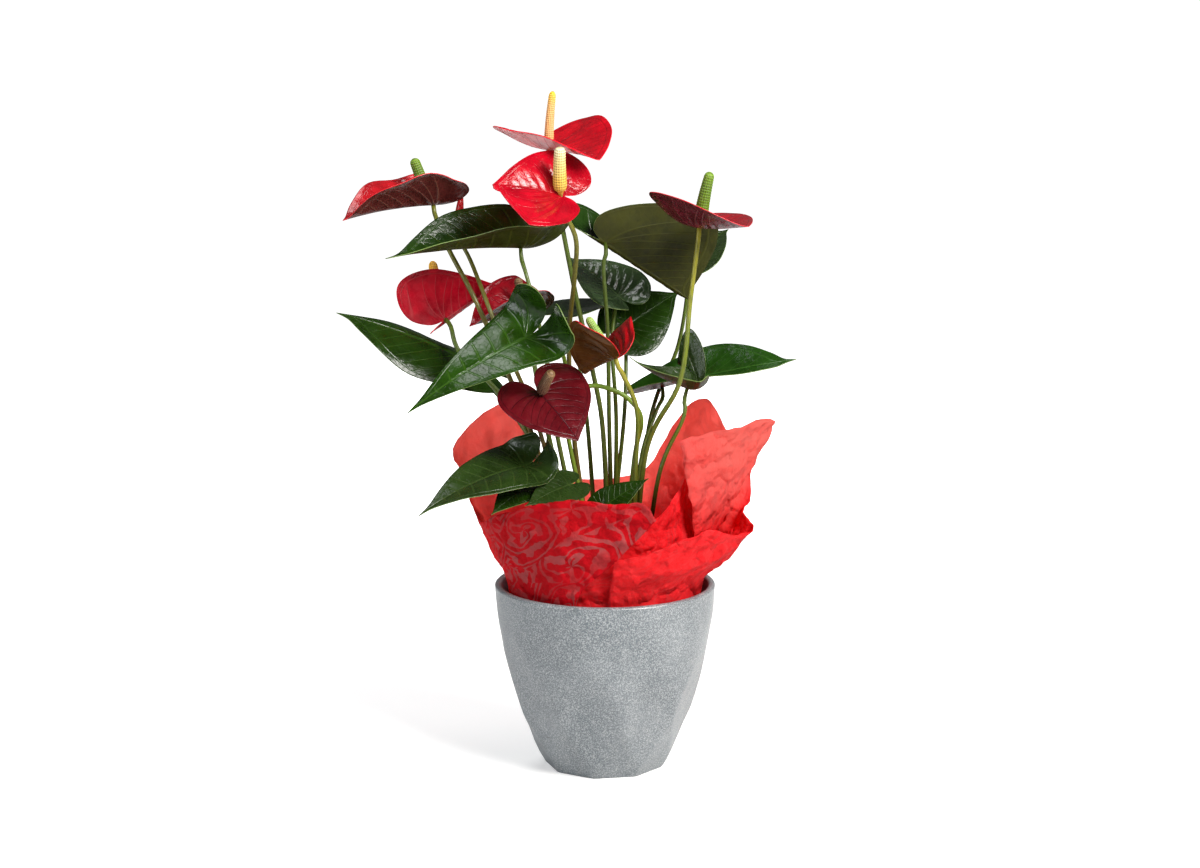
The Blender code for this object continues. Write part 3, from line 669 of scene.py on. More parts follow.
def bark():
    p = Paint("potting_mix_bark")
    grain = p.noise(0.0011, p.stretched(p.place(), (1, 3, 1)), 4, 0.6)
    tone = p.ramp(grain, ((0.3, (0.030, 0.015, 0.008)), (0.55, (0.10, 0.052, 0.026)),
                          (0.8, (0.20, 0.12, 0.065))))
    return p.finish(tone, 0.85, p.bump((grain, 0.0006)), Specular_IOR_Level=0.3)


def perlite():
    p = Paint("potting_mix_perlite")
    pores = p.noise(0.0007, detail=4, roughness=0.7)
    return p.finish(p.ramp(pores, ((0.3, (0.42, 0.39, 0.34)), (0.7, (0.78, 0.76, 0.72)))), 0.9,
                    p.bump((pores, 0.0005)))


# A lump with 12 points and 20 faces, before it is made uneven.
GOLDEN = (1 + math.sqrt(5)) / 2
CHIP = np.array([(-1, GOLDEN, 0), (1, GOLDEN, 0), (-1, -GOLDEN, 0), (1, -GOLDEN, 0), (0, -1, GOLDEN),
                 (0, 1, GOLDEN), (0, -1, -GOLDEN), (0, 1, -GOLDEN), (GOLDEN, 0, -1), (GOLDEN, 0, 1),
                 (-GOLDEN, 0, -1), (-GOLDEN, 0, 1)]) / 1.9
CHIP_FACES = ((0, 11, 5), (0, 5, 1), (0, 1, 7), (0, 7, 10), (0, 10, 11), (1, 5, 9), (5, 11, 4), (11, 10, 2),
              (10, 7, 6), (7, 1, 8), (3, 9, 4), (3, 4, 2), (3, 2, 6), (3, 6, 8), (3, 8, 9), (4, 9, 5),
              (2, 4, 11), (6, 2, 10), (8, 6, 7), (9, 8, 1))


def mix_height(radius):
    """How high the mix's domed surface is at a radius."""
    return MIX_TOP - MIX_EDGE_DROP + MIX_CROWN * (1 - (radius / MIX_RADIUS) ** 2)


def make_mix_body():
    sides, rings = 96, 30
    bottom = NURSERY_BOTTOM + 1.7
    profile = [(bottom, 34), (bottom + 1.5, 35.2), (60, 46), (100, 54.2), (107.5, MIX_RADIUS)]
    profile += [(mix_height(r), r) for r in np.linspace(MIX_RADIUS - 1, 1.0, rings)]
    points = turned_points(profile, sides)
    crumbly = points[:, 2] > MIX_TOP - 4
    fade = np.clip((MIX_RADIUS + 0.5 - np.hypot(points[:, 0], points[:, 1])) / 3, 0, 1)
    lift = 1.3 * wobble(points, 7.0) + 0.9 * wobble(points, 3.0, 5.0)
    points[:, 2] += np.where(crumbly, lift * fade, 0)
    piece(add_mesh("mix_body", points, capped(len(profile), sides), soil()), "potting_mix", "potting_mix")


def chip_points(draw, sizes, flat):
    """One uneven lump somewhere on the mix."""
    radius, turn = (MIX_RADIUS - 3) * math.sqrt(draw.random()), 2 * math.pi * draw.random()
    size = draw.uniform(*sizes)
    shape = CHIP * draw.uniform(0.7, 1.3, CHIP.shape) * (size, size * draw.uniform(0.5, 1), size * flat)
    yaw, lean = draw.uniform(0, 2 * math.pi), draw.uniform(-0.5, 0.5)
    spin = np.array([[math.cos(yaw), -math.sin(yaw), 0], [math.sin(yaw), math.cos(yaw), 0], [0, 0, 1]])
    tip = np.array([[1, 0, 0], [0, math.cos(lean), -math.sin(lean)], [0, math.sin(lean), math.cos(lean)]])
    centre = radius * math.cos(turn), radius * math.sin(turn), mix_height(radius) + 0.9
    return shape @ (spin @ tip).T + centre


def make_chips():
    draw = np.random.default_rng(11)
    for name, finish, count, sizes, flat in (("mix_crumbs", soil(), 260, (0.9, 2.2), 0.8),
                                             ("mix_bark_chips", bark(), 90, (1.6, 3.6), 0.35),
                                             ("mix_perlite", perlite(), 34, (0.8, 1.6), 0.9)):
        chips = [chip_points(draw, sizes, flat) for _ in range(count)]
        faces = [tuple(i + chip * len(CHIP) for i in f) for chip in range(count) for f in CHIP_FACES]
        made = add_mesh(name, np.vstack(chips), faces, finish, smooth=False)
        rounded = made.modifiers.new("rounded", "SUBSURF")
        rounded.levels = rounded.render_levels = 1
        piece(made, "potting_mix")


# ---------------------------------------------------------------- paper

PAPER_THICKNESS = 0.35
PAPER_GRID = (9, 54)  # steps between two columns, and rows from the bottom to the top
CREASES = ((17.0, 2.0, 0.0), (7.0, 0.6, 4.0))  # how far apart, how high, and what is added to the seed
TUCKED = ((40, 16.0), (85, 5.5))  # height, and how far inside its rim radius a sheet runs there
ROSE = 0.044  # metres between the printed roses
PRINT_LINES = 38.0  # radians that the printed lines' phase gains from a rose's middle to the next one's
PRINT_COLOUR = (0.40, 0.15, 0.15)


def roses(p, flat):
    """The print's lines: wavy rings round scattered middles, each ring scalloped into petals."""
    shift = p.scaled(p.noise(1 / 45, flat, 2.0, output="Color"), 0.009)
    place = p.scaled(p.vector("ADD", flat, shift), 1 / ROSE)
    middle, reach = (p.cells(1.0, "F1", place, output) for output in ("Position", "Distance"))
    x, y, _ = p.split(p.vector("SUBTRACT", place, middle))
    turn = p.math("ARCTAN2", y, x)
    petals = p.math("SINE", p.plus(p.times(turn, 3.0), p.times(reach, 14.0)))
    phase = p.plus(p.times(reach, PRINT_LINES), p.times(petals, 2.6))
    phase = p.plus(phase, p.plus(turn, p.times(p.noise(0.016, flat), 8.0)))
    broad = p.span(p.noise(0.010, flat, 2), 0.35, 0.65, -0.35, 0.55)
    return p.span(p.minus(p.math("SINE", phase), broad), 0.0, 0.3)


def wrapping(name, base, deep, light):
    """Fibrous red wrapping, printed with roses where "printed" says so. Where it is a single layer it lets
    light through and is painted paler pink, a painted backlight.
    """
    p = Paint(name)
    flat, printed, thin = p.attribute("flat"), p.attribute("printed", "Fac"), p.attribute("thin", "Fac")
    fibres = p.noise(0.0011, p.stretched(flat, (1, 4, 1)), 4, 0.65, 0.8)
    cross_fibres = p.noise(0.0013, p.stretched(flat, (4, 1, 1)), 4, 0.65, 0.8)
    crinkle = p.noise(0.012, detail=4, roughness=0.6)
    # Painted shade: the deeper red falls where the crinkle noise is low, which is where the crinkle bump
    # dips.
    tone = p.mix(p.span(crinkle, 0.3, 0.7), deep, base)
    tone = p.mix(p.span(fibres, 0.5, 0.75, 0.0, 0.35), tone, light)
    tone = p.mix(p.span(cross_fibres, 0.55, 0.8, 0.0, 0.3), tone, light)
    tone = p.mix(printed, tone, p.mix(1.0, tone, (0.72, 0.12, 0.40), "MULTIPLY"))
    # Painted backlight: paler pink in the single-layer part, standing in for light from behind coming through
    # the paper; the light let through at the end is real.
    tone = p.mix(p.times(thin, 0.6), tone, (1.0, 0.42, 0.36))
    worn = p.span(p.noise(0.03, flat), 0.35, 0.65, 0.35, 1.0)
    lines = p.times(roses(p, flat), p.times(p.span(printed, 0.0, 1.0, 0.10, 0.50), worn))
    tone = p.mix(lines, tone, PRINT_COLOUR)
    folds, small_folds = p.crest(p.noise(0.032, detail=2)), p.crest(p.noise(0.011, detail=3))
    normal = p.bump((folds, 0.020), (small_folds, 0.005), (crinkle, 0.0012), (fibres, 0.00012),
                    (cross_fibres, 0.00012))
    p.finish(tone, p.span(fibres, 0.3, 0.7, 0.55, 0.75), normal, Specular_IOR_Level=0.12)
    return p.let_through(tone, p.span(thin, 0.0, 1.0, 0.42, 0.75))


def sheet_grid(columns, across_steps, up_steps):
    """Points of a sheet tucked between the two pots, flaring above the rim to its free top edge."""
    rim_height = POT_HEIGHT + 2
    levels = [[] for _ in range(len(TUCKED) + 3)]
    for degrees, rim_radius, top, bulge in columns:
        angle = math.radians(degrees)
        outward = np.array([math.cos(angle), math.sin(angle), 0])
        for level, (height, inside) in zip(levels, TUCKED):
            level.append(outward * (rim_radius - inside) + (0, 0, height))
        rim = outward * rim_radius + (0, 0, rim_height)
        middle = rim + 0.5 * (np.array(top) - rim)
        levels[-3].append(rim)
        levels[-2].append(middle + bulge * unit((middle[0], middle[1], 0)))
        levels[-1].append(top)
    across = np.linspace(0, len(columns) - 1, across_steps)
    rows = np.stack([catmull(level, across) for level in levels])
    hidden = up_steps // 3
    up = np.concatenate([np.linspace(0, 2, hidden, endpoint=False), np.linspace(2, 4, up_steps - hidden)])
    return np.stack([catmull(rows[:, i], up) for i in range(across_steps)], axis=1)


def make_paper(name, node, columns, printed, thin, finish, seed):
    """A sheet with loose creases. Printed, and the argument after it, give the first and last column of the
    printed part and of the single-layer part, which lets light through and carries the painted backlight."""
    across_steps, up_steps = PAPER_GRID[0] * (len(columns) - 1) + 1, PAPER_GRID[1]
    grid = sheet_grid(columns, across_steps, up_steps)
    along = summed(np.linalg.norm(np.diff(grid, axis=1), axis=2).mean(axis=0))
    rising = summed(np.linalg.norm(np.diff(grid, axis=0), axis=2).mean(axis=1))
    flat = np.stack(np.meshgrid(along, rising), axis=2)
    points = grid.reshape(-1, 3)
    made = add_mesh(name, points, ring_faces(up_steps, across_steps, closed=False), finish)
    creases = sum((1 - 2 * abs(wobble(points, size, seed + more))) * high for size, high, more in CREASES)
    free = np.clip((points[:, 2] - POT_HEIGHT - 2) / 14, 0, 1)
    points = points + normals_of(made) * ((creases - 1.5) * free)[:, None]
    points[-across_steps:, 2] += 0.9 * wobble(points[-across_steps:], 5.0, seed + 9)
    move_to(made, points)
    store(made, "flat", np.c_[flat.reshape(-1, 2) * MM, np.zeros(len(points))])
    column = np.tile(np.linspace(0, len(columns) - 1, across_steps), up_steps)
    store(made, "printed", np.clip(column - printed[0], 0, 1) * np.clip(printed[1] - column, 0, 1))
    height = np.repeat(np.linspace(0, 1, up_steps), across_steps)
    # The single-layer band in the upper part of these columns, which lets light through and gets the painted
    # pale pink backlight.
    band = np.clip((column - thin[0]) / 2, 0, 1) * np.clip((thin[1] - column) / 2, 0, 1)
    store(made, "thin", band * np.clip((height - 0.55) / 0.3, 0, 1))
    thicken(made, PAPER_THICKNESS)
    piece(made, "red_paper", node)


# ---------------------------------------------------------------- blades

VEIN_SLOPE = 0.45  # how far the side veins lean towards the tip as they leave the midrib
VEIN_BEND = 0.9  # and how much more they lean further out
VEIN_FAN = 0.42  # spacing of the veins that fan into the basal lobes
EDGE_VEIN = 0.915  # where the vein along the margin runs, from 0 at the attachment to 1 at the rim
LOBE_LENGTH = 0.36  # how far the basal lobes reach, in blade lengths
FOLD_SOFTNESS = 4.0  # how far from the midrib the fold is complete


def blade_frame(blade):
    """The blade's length along its midrib, axes (to the tip, left, up) and the tables that bend it."""
    attach, tip = np.array(blade.attach, float), np.array(blade.tip, float)
    forward = unit(tip - attach)
    up = unit(np.array(blade.face, float) - forward * forward.dot(blade.face))
    along = np.linspace(-1.2, 1, 221)
    lobes_rise = math.radians(blade.lobes) * np.maximum(along / LOBE_LENGTH, -1)
    slope = np.where(along > 0, -math.radians(blade.arch) * along, lobes_rise)
    step, middle = np.diff(along), (slope[1:] + slope[:-1]) / 2
    run, rise = summed(step * np.cos(middle)), summed(step * np.sin(middle))
    start = int(np.argmin(abs(along)))
    run, rise = run - run[start], rise - rise[start]
    length = np.linalg.norm(tip - attach) / math.hypot(run[-1], rise[-1])
    tilt = math.atan2(rise[-1], run[-1])
    axes, tables = (forward, np.cross(up, forward), up), (along, slope, run * length, rise * length)
    return attach, length, axes, tilt, tables


def half_section(fold, curl, half_width):
    """Tables of how far out and up a half blade reaches, by the distance from the midrib."""
    out = np.linspace(0, 1.2 * half_width, 60)
    angle = math.radians(fold) * (1 - np.exp(-out / FOLD_SOFTNESS)) + math.radians(curl) * out / half_width
    step, middle = np.diff(out), (angle[1:] + angle[:-1]) / 2
    return out, summed(step * np.cos(middle)), summed(step * np.sin(middle))


def bent(blade, x, y):
    """Flat blade points, x along the midrib in lengths and y across in half widths, in their place."""
    attach, _, (forward, left, up), tilt, (along, slope, run, rise) = blade_frame(blade)
    side = np.where(y >= 0, 0, 1)
    narrowing = np.where(side == 0, *blade.pinch) * np.clip((x - 0.1) / 0.4, 0, 1)
    width = np.where(side == 0, *blade.widths) * (1 - narrowing)
    x = x + np.where(side == 0, *blade.sweep) * abs(y)
    across, lift = np.zeros_like(x), np.zeros_like(x)
    for s in (0, 1):
        out, reach, height = half_section(blade.fold[s], blade.curl[s], blade.widths[s])
        mine = side == s
        distance = abs(y[mine]) * width[mine]
        across[mine] = (1 if s == 0 else -1) * np.interp(distance, out, reach)
        lift[mine] = np.interp(distance, out, height)
    lift = lift + blade.wave * y**2 * np.sin(9 * x + 2.2 * side)
    cupped = np.where(side == 0, blade.cup[0], -blade.cup[1]) * np.clip(-x / LOBE_LENGTH, 0, 1)
    turn = np.radians(blade.twist * x + cupped)
    across, lift = across * np.cos(turn) - lift * np.sin(turn), across * np.sin(turn) + lift * np.cos(turn)
    angle = np.interp(x, along, slope)
    u = np.interp(x, along, run) - lift * np.sin(angle)
    v = np.interp(x, along, rise) + lift * np.cos(angle)
    u, v = u * math.cos(tilt) + v * math.sin(tilt), -u * math.sin(tilt) + v * math.cos(tilt)
    return attach + np.outer(u, forward) + np.outer(across, left) + np.outer(v, up)


def blade_normal(blade):
    """The upper side's direction at the attachment."""
    _, _, (forward, _, up), tilt, _ = blade_frame(blade)
    return forward * math.sin(tilt) + up * math.cos(tilt)


def vein_distance(x, y, spacing):
    """Distance to the nearest side vein, in blade lengths, at flat points measured in blade lengths."""
    y = abs(y)
    start = x - VEIN_SLOPE * y - VEIN_BEND * y**2
    reach = np.maximum(np.hypot(x, y), 1e-6)
    ahead = abs(start / spacing - np.round(start / spacing)) * spacing
    behind = abs(start / reach / VEIN_FAN - np.round(start / reach / VEIN_FAN)) * VEIN_FAN * reach
    return np.where(start > 0, ahead, behind)


def vein_field(p, x, y, spacing):
    """The same distance as nodes, with y already positive."""
    start = p.minus(p.minus(x, p.times(y, VEIN_SLOPE)), p.times(p.times(y, y), VEIN_BEND))
    reach = p.length(x, y)
    ahead = p.math("PINGPONG", start, spacing / 2)
    fanned = p.math("DIVIDE", start, p.math("MAXIMUM", reach, 1e-4))
    behind = p.times(p.math("PINGPONG", fanned, VEIN_FAN / 2), reach)
    front = p.math("GREATER_THAN", start, 0.0)
    return p.plus(p.times(ahead, front), p.times(behind, p.minus(1.0, front)))


def blade_paint(name, colour, vein, rough, spacing, upper, dark, coat, glow):
    """A waxy blade: patchy colour, a midrib and side veins in their own colour, and fine cell texture."""
    p = Paint(name)
    x, y, ring = p.split(p.attribute("flat"))
    y = p.math("ABSOLUTE", y)
    margin = p.times(p.math("ABSOLUTE", p.minus(ring, EDGE_VEIN)), 0.5)
    side_vein = p.span(vein_field(p, x, y, spacing), 0.012, 0.002)
    side_vein = p.times(side_vein, p.span(ring, 0.95, 0.80, 0.0, 0.75))
    edge_vein = p.span(margin, 0.008, 0.001, 0.0, 0.6)
    midrib = p.span(y, p.span(x, -0.1, 1.0, 0.024, 0.006, smooth=False), 0.003)
    network = p.span(p.cells(0.0042, "DISTANCE_TO_EDGE"), 0.12, 0.0, 0.0, 0.28)
    lines = p.math("MAXIMUM", p.math("MAXIMUM", side_vein, edge_vein), midrib)
    patches = p.noise(0.018, detail=3, roughness=0.6)
    shade = tuple(c * (1 - dark) for c in colour)
    tone = p.mix(p.span(patches, 0.32, 0.68), shade, colour)
    tone = p.mix(network, tone, tuple(0.6 * c + 0.4 * v for c, v in zip(colour, vein)))
    tone = p.mix(lines, tone, vein)
    height = p.math("MAXIMUM", lines, p.times(network, 0.5))
    if upper:
        height = p.minus(1.0, height)
    normal = p.bump((height, 0.0003), (patches, 0.0010), (p.noise(0.0006, detail=2), 0.00002))
    roughness = p.span(p.noise(0.009, detail=3), 0.3, 0.7, 0.8 * rough, 1.3 * rough)
    p.finish(tone, roughness, normal, Specular_IOR_Level=0.34 if upper else 0.2, Coat_Weight=coat,
             Coat_Roughness=0.06)
    return p.let_through(tone, glow)


def rim_paint(name, colour):
    """The cut edge between a blade's two sides."""
    p = Paint(name)
    grain = p.noise(0.002, detail=2)
    tone = p.mix(p.span(grain, 0.3, 0.7), tuple(0.8 * c for c in colour), colour)
    return p.finish(tone, p.span(grain, 0.3, 0.7, 0.25, 0.4))


def make_blade(name, node, kind, blade, skin, edge_colour, seed):
    """A blade on a fine grid, quilted between its veins, with its own colours above and below."""
    half_spokes, rings = 44, np.concatenate([[0.05], np.linspace(0.1, 0.95, 19), [0.985, 1.0]])
    half = catmull(kind.outline, np.linspace(0, len(kind.outline) - 1, half_spokes + 1))
    rim = np.vstack([half, (half * (1, -1))[-2:0:-1]])
    spokes = len(rim)
    flat = np.vstack([rim * r for r in rings] + [[(0, 0)]])
    ring_at = np.append(np.repeat(rings, spokes), 0)
    points = bent(blade, flat[:, 0], flat[:, 1])
    faces = [f[::-1] for f in ring_faces(len(rings), spokes)]
    faces += [(len(flat) - 1, i, (i + 1) % spokes) for i in range(spokes)]
    length = blade_frame(blade)[1]
    width = np.where(flat[:, 1] >= 0, *blade.widths)
    lengths = np.stack([flat[:, 0], flat[:, 1] * width / length], axis=1)
    above = blade_paint(name + "_above", skin.upper, skin.vein, skin.rough[0], kind.vein_spacing, True,
                        skin.dark, kind.coat, skin.glow)
    below = blade_paint(name + "_below", skin.under, skin.under_vein, skin.rough[1], kind.vein_spacing, False,
                        skin.dark, 0.6 * kind.coat, skin.glow)
    made = add_mesh(name, points, faces, above, below, rim_paint(name + "_edge", edge_colour))
    away = vein_distance(lengths[:, 0], lengths[:, 1], kind.vein_spacing) * length
    rib = abs(lengths[:, 1]) * length
    quilt = skin.quilt * (1 - np.exp(-(away / 2.4) ** 2)) * (1 - np.exp(-(rib / 2.5) ** 2))
    quilt *= np.clip((1.0 - ring_at) / 0.12, 0, 1) * np.clip(ring_at / 0.12, 0, 1)
    rumple = 0.5 * wobble(points, 19.0, seed) * np.clip(ring_at, 0, 1)
    move_to(made, points + normals_of(made) * (quilt + rumple)[:, None])
    store(made, "flat", np.c_[lengths, ring_at])
    thicken(made, kind.thickness, other_side=1, rim=2)
    piece(made, kind.slot, node)


# ---------------------------------------------------------------- stalks, spadices, bud

STALK_SIDES = 14
STALK_START = 1.05  # height over MIX_TOP at which a stalk leaves the mix
STALK_APPROACH = 8.0  # length at a stalk's top that turns towards its blade
STEMS = {  # colours at the root, at a quarter, at three quarters and at the top
    "green": ((0.10, 0.045, 0.02), (0.065, 0.080, 0.008), (0.065, 0.10, 0.010), (0.09, 0.14, 0.015)),
    "bright": ((0.10, 0.045, 0.02), (0.10, 0.15, 0.012), (0.13, 0.21, 0.015), (0.16, 0.26, 0.02)),
    "brown": ((0.10, 0.04, 0.02), (0.09, 0.060, 0.010), (0.10, 0.085, 0.012), (0.15, 0.16, 0.02)),
    "yellow": ((0.10, 0.045, 0.02), (0.075, 0.095, 0.010), (0.12, 0.15, 0.012), (0.30, 0.26, 0.03)),
}


def stem_paint(kind):
    p = Paint("stem_" + kind)
    along = p.attribute("along", "Fac")
    uneven = p.plus(along, p.span(p.noise(0.03), 0.2, 0.8, -0.08, 0.08, smooth=False))
    tone = p.ramp(uneven, tuple(zip((0.0, 0.22, 0.75, 0.98), STEMS[kind])))
    streaks = p.noise(0.0009, p.stretched(p.place(), (1, 1, 0.12)), 3)
    streak_colour = tuple(0.45 * c for c in STEMS[kind][1])
    tone = p.mix(p.span(streaks, 0.45, 0.7, 0.0, 0.45), tone, streak_colour)
    tone = p.mix(p.span(p.noise(0.0011, detail=1), 0.68, 0.75, 0.0, 0.3), tone, (0.22, 0.22, 0.08))
    return p.finish(tone, p.span(streaks, 0.3, 0.7, 0.26, 0.42), p.bump((streaks, 0.00012)),
                    Specular_IOR_Level=0.35)


def root(slot):
    """Where stalk number slot leaves the mix."""
    angle, radius = math.radians(GOLDEN_ANGLE * slot), ROOT_SPACING * math.sqrt(slot + 0.4)
    return radius * math.cos(angle), radius * math.sin(angle), MIX_TOP + STALK_START


def make_stalk(name, slot, via, end, normal, radii, finish, finish_slot, knee=True):
    """A stalk from the mix through via to the surface at end, swollen a little at its root and its knee."""
    start, end = np.array(root(slot)), np.array(end, float)
    direction = unit(unit(end - (via[-1] if via else start)) + 0.8 * normal)
    path = resample([start - (0, 0, 4), start, *via, end - STALK_APPROACH * direction, end],
                    34 + 9 * len(via), 40)
    share = np.linspace(0, 1, len(path))
    from_end = np.linalg.norm(path - path[-1], axis=1)
    radius = np.interp(share, (0, 1), radii)
    radius = radius * (1 + 0.35 * np.exp(-share / 0.035))
    if knee:
        radius = radius * (1 + 0.2 * np.exp(-((from_end - 9) / 5) ** 2))
    radius = radius * (1 + 0.04 * wobble(path, 11.0, slot))
    made = add_tube(name, path, radius, STALK_SIDES, finish)
    store(made, "along", np.repeat(share, STALK_SIDES))
    piece(made, finish_slot, name)


def spadix_paint(name, colours):
    p = Paint(name)
    along, grain = p.attribute("along", "Fac"), p.attribute("grain", "Fac")
    tone = p.ramp(along, tuple(zip((0.0, 0.35, 0.75, 0.97), colours)))
    # Painted shade: the colour is darkened between the bumps, where the grain lattice is low and the spike's
    # surface dips.
    deep = p.mix(1.0, tone, (0.42, 0.36, 0.24), "MULTIPLY")
    tone = p.mix(p.span(grain, 0.05, 0.75), deep, tone)
    speck = p.noise(0.0007, detail=2)
    tone = p.mix(p.span(speck, 0.6, 0.75, 0.0, 0.35), tone, (0.75, 0.70, 0.45))
    return p.finish(tone, 0.48, p.bump((speck, 0.0001)), Specular_IOR_Level=0.4)


def make_spadix(flower):
    """A spike covered in small rounded bumps."""
    name, sides = f"spadix_{flower.name}", 64
    base = np.array(flower.blade.attach) + blade_normal(flower.blade) * 0.3
    axis = np.array(flower.spadix_tip) - base
    wide, narrow = flower.spadix
    round_end = 0.94 + 0.06 * np.sin(np.linspace(0.15, 1.5, 9))
    shares = np.concatenate([[0, 0.03, 0.06], np.linspace(0.08, 0.94, 84), round_end])
    radii = np.interp(shares, (0, 0.06, 0.12, 0.22, 0.6, 0.9),
                      (1.4, 0.45 * wide, 0.85 * wide, wide, 0.5 * (wide + narrow), narrow))
    cap = np.clip((shares - 0.9) / 0.1, 0, 1)
    radii = radii * np.sqrt(np.maximum(1 - cap**2, 0.004))
    turns = around(sides)
    across = 8 if wide > 3.5 else 7  # bumps round the spike
    spacing = math.pi * wide / across
    height = shares[:, None] * np.linalg.norm(axis)
    rise = math.pi * height / spacing
    lattice = 0.5 + 0.25 * (np.cos(2 * across * turns) + np.cos(2 * rise))
    lattice = np.clip(lattice + 0.25 * np.cos(across * turns + rise) * np.cos(across * turns - rise), 0, 1)
    bumps = 0.42 * (lattice - 0.5) * np.clip((shares[:, None] - 0.08) / 0.06, 0, 1)
    rows = np.maximum(radii[:, None] + bumps * np.sqrt(1 - 0.9 * cap[:, None]), 0.12)
    lean = unit(np.cross(axis, (0.2, 1, 0.1)))
    path = base + np.outer(shares, axis) + np.outer(0.6 * np.sin(math.pi * shares), lean)
    made = add_tube(name, path, rows, sides, spadix_paint(name, flower.grains))
    store(made, "along", np.repeat(shares, sides))
    store(made, "grain", lattice.ravel())
    piece(made, "spadix_yellow", name)


def make_bud(axis):
    """A furled young spathe: a slim spindle rolled round itself."""
    rings, sides = 40, 40
    path = resample([np.array(BUD_ATTACH) - axis * 0.3, BUD_TIP], rings)
    share = np.linspace(0, 1, rings)
    radii = catmull(np.c_[BUD_RADII, BUD_RADII], share * (len(BUD_RADII) - 1))[:, 0]
    radii *= np.clip((1.04 - share) / 0.12, 0.15, 1)
    turns = np.linspace(0, 1, sides, endpoint=False)
    rolled = (turns[None, :] + 0.9 * share[:, None]) % 1
    rows = radii[:, None] * (0.88 + 0.2 * rolled**2)
    finish = blade_paint("bud_skin", (0.50, 0.012, 0.018), (0.6, 0.06, 0.05), 0.2, SPATHE.vein_spacing, True,
                         0.3, 0.4, 0.05)
    made = add_tube("bud", path, rows, sides, finish)
    flat = np.c_[np.repeat(share, sides), np.tile(0.3 * turns, rings), np.full(rings * sides, 0.5)]
    store(made, "flat", flat)
    piece(made, "spathe_red", "spathe_bud")


# Dry sheaths at the foot of the stalks: place, lean, height and width.
SHEATH_THICKNESS = 0.35
SHEATHS = (
    ((6, -14), (10, -12), 46, 7.0), ((-8, -12), (-9, -8), 38, 6.0), ((14, -4), (16, -2), 42, 6.5),
    ((-14, 0), (-14, -4), 40, 6.0), ((2, 12), (4, 12), 44, 6.5), ((18, -16), (12, -12), 34, 5.5),
    ((-2, -22), (-2, -8), 30, 5.5),
)


def make_sheaths():
    """Papery brown sheaths that once wrapped the young stalks."""
    p = Paint("dry_sheath")
    fibre = p.noise(0.0012, p.stretched(p.place(), (1, 1, 0.1)), 4, 0.6)
    tone = p.ramp(fibre, ((0.3, (0.10, 0.035, 0.018)), (0.55, (0.24, 0.11, 0.05)), (0.8, (0.40, 0.22, 0.11))))
    p.finish(tone, 0.7, p.bump((fibre, 0.0004)), Specular_IOR_Level=0.3)
    finish = p.let_through(tone, 0.2)
    up, across = 22, 13
    turns = np.linspace(-1.9, 1.9, across)
    for number, (foot, lean, height, width) in enumerate(SHEATHS):
        facing = math.atan2(foot[1], foot[0])
        points = []
        for s in np.linspace(0, 1, up):
            radius = width * 0.42 * (1 - 0.35 * s)
            spread = turns * (1 - s**2.2) * (1 - 0.25 * s) + 0.5 * s * math.sin(number)
            centre = np.array([foot[0] + lean[0] * s, foot[1] + lean[1] * s, MIX_TOP - 1 + height * s])
            ring = np.stack([np.cos(facing + spread), np.sin(facing + spread), np.zeros(across)], axis=1)
            points.append(centre + radius * ring)
        points = np.vstack(points)
        points += 0.4 * np.stack([wobble(points, 5.0, number + k) for k in range(3)], axis=1)
        made = add_mesh(f"sheath_{number}", points, ring_faces(up, across, closed=False), finish)
        thicken(made, SHEATH_THICKNESS)
        piece(made, "petiole_green")


# ---------------------------------------------------------------- stage

LENS = 70
CAMERA_PLACE = (-0.00352, -1.6, 0.517)
CAMERA_DIP = 9.95  # degrees that the camera looks down
SKY = (0.02, 0.13)  # how bright the surroundings are in front and low down, and behind and high up
LIGHTS = (  # name, place, aim, size, watts, colour, whether it shows in reflections
    ("key", (1.0, -1.0, 1.25), (0, 0, 0.24), (0.8, 0.8), 58, (1.0, 0.975, 0.935), True),
    ("fill", (-1.5, -1.1, 0.8), (0, 0, 0.28), (0.7, 0.9), 17, (0.94, 0.97, 1.0), True),
    ("top", (-0.2, 0.0, 1.6), (0, 0, 0.3), (0.5, 0.4), 5, (1.0, 1.0, 1.0), True),
    ("back", (0.35, 1.8, 0.85), (0, 0, 0.3), (1.0, 0.5), 30, (1.0, 1.0, 1.0), False),
)


def place_in_scene(name, data, place):
    """A camera or a light, standing in metres."""
    made = bpy.data.objects.new(name, data)
    bpy.context.scene.collection.objects.link(made)
    made.location = place
    return made


def make_camera():
    camera = place_in_scene("camera", bpy.data.cameras.new("camera"), CAMERA_PLACE)
    camera.data.lens = LENS
    camera.data.sensor_width = 36
    camera.rotation_euler = (math.radians(90 - CAMERA_DIP), 0, 0)
    bpy.context.scene.camera = camera


def make_floor():
    """A white floor that fades into the background for the camera, and still takes a shadow."""
    p = Paint("studio_floor")
    tone = p.mix(p.noise(0.4), (0.72, 0.72, 0.72), (0.75, 0.75, 0.75))
    x, y, _ = p.split(p.place())
    seen = p.add("LightPath", {}, "Is Camera Ray")
    lift = p.times(seen, p.span(p.length(x, y), 0.1, 1.4, 0.42, 1.0))
    bpy.ops.mesh.primitive_plane_add(size=30)
    floor = bpy.context.object
    floor.name = "floor"
    floor.data.materials.append(p.finish(tone, 0.9, Emission_Color=(1, 1, 1), Emission_Strength=lift))


def make_surroundings():
    """White for the camera, and for everything else a sky that brightens upwards and to the back."""
    world = bpy.data.worlds.new("studio")
    bpy.context.scene.world = world
    world.use_nodes = True
    p = Nodes(world.node_tree)
    _, y, z = p.split(p.add("TexCoord", {}, "Generated"))
    seen = p.add("LightPath", {}, "Is Camera Ray")
    sky = p.span(p.plus(p.times(z, 0.5), y), -0.6, 1.0, *SKY, smooth=False)
    background = p.tree.nodes["Background"]
    background.inputs["Color"].default_value = (1, 1, 1, 1)
    p.put(background.inputs["Strength"], p.plus(sky, seen))


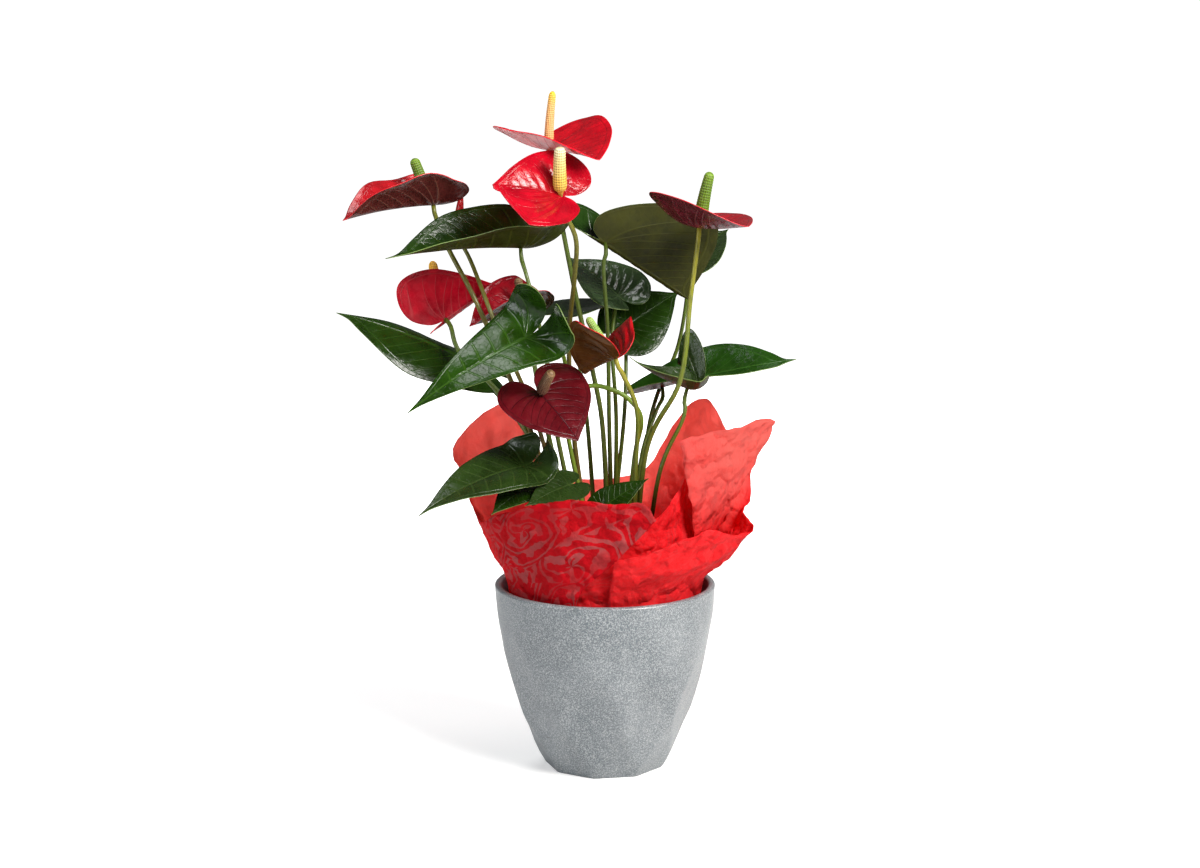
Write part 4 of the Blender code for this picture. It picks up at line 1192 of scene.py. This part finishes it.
def make_lights():
    for name, place, aim, size, power, colour, shows in LIGHTS:
        light = bpy.data.lights.new(name, "AREA")
        light.shape = "RECTANGLE"
        light.size, light.size_y = size
        light.energy = power
        light.color = colour
        made = place_in_scene(name, light, place)
        made.visible_glossy = shows
        made.rotation_euler = (Vector(aim) - Vector(place)).to_track_quat("-Z", "Y").to_euler()


def make_stage():
    make_camera()
    make_floor()
    make_surroundings()
    make_lights()
    bpy.context.scene.view_settings.view_transform = "Standard"
    bpy.context.scene.view_settings.look = "None"


# ---------------------------------------------------------------- the whole

def make_plant():
    stems = {kind: stem_paint(kind) for kind in STEMS}
    for number, leaf in enumerate(LEAVES):
        name, blade = leaf.name, leaf.blade
        make_blade(f"blade_{name}", f"leaf_{name}", LEAF, blade, leaf.skin, LEAF_EDGE, 10.0 + number)
        make_stalk(f"petiole_{name}", leaf.slot, leaf.via, blade.attach, blade_normal(blade), leaf.stalk,
                   stems[leaf.stem], "petiole_green")
    for number, flower in enumerate(FLOWERS):
        name, blade = flower.name, flower.blade
        edge = tuple(min(1.0, 1.3 * c) for c in flower.skin.upper)
        make_blade(f"bract_{name}", f"spathe_{name}", SPATHE, blade, flower.skin, edge, 40.0 + number)
        make_spadix(flower)
        make_stalk(f"peduncle_{name}", flower.slot, flower.via, blade.attach, blade_normal(blade),
                   flower.stalk, stems[flower.stem], "peduncle_green", knee=False)
    axis = unit(np.subtract(BUD_TIP, BUD_ATTACH))
    make_bud(axis)
    make_stalk("peduncle_bud", BUD_SLOT, BUD_VIA, BUD_ATTACH, axis, (1.7, 1.4), stems["brown"],
               "peduncle_green", knee=False)


make_stage()
make_ceramic_pot()
finish_nursery_pot()
make_mix_body()
make_chips()
make_paper("wrap_main", "paper_wrap_main", MAIN_SHEET, (19, 40), (5, 19),
           wrapping("wrap_main_paper", (0.86, 0.016, 0.024), (0.72, 0.008, 0.014), (0.95, 0.09, 0.08)), 2.0)
make_paper("wrap_front", "paper_wrap_front", FRONT_SHEET, (-1, 0), (7, 12),
           wrapping("wrap_front_paper", (0.88, 0.020, 0.026), (0.74, 0.010, 0.016), (0.96, 0.11, 0.10)), 6.0)
make_plant()
make_sheaths()
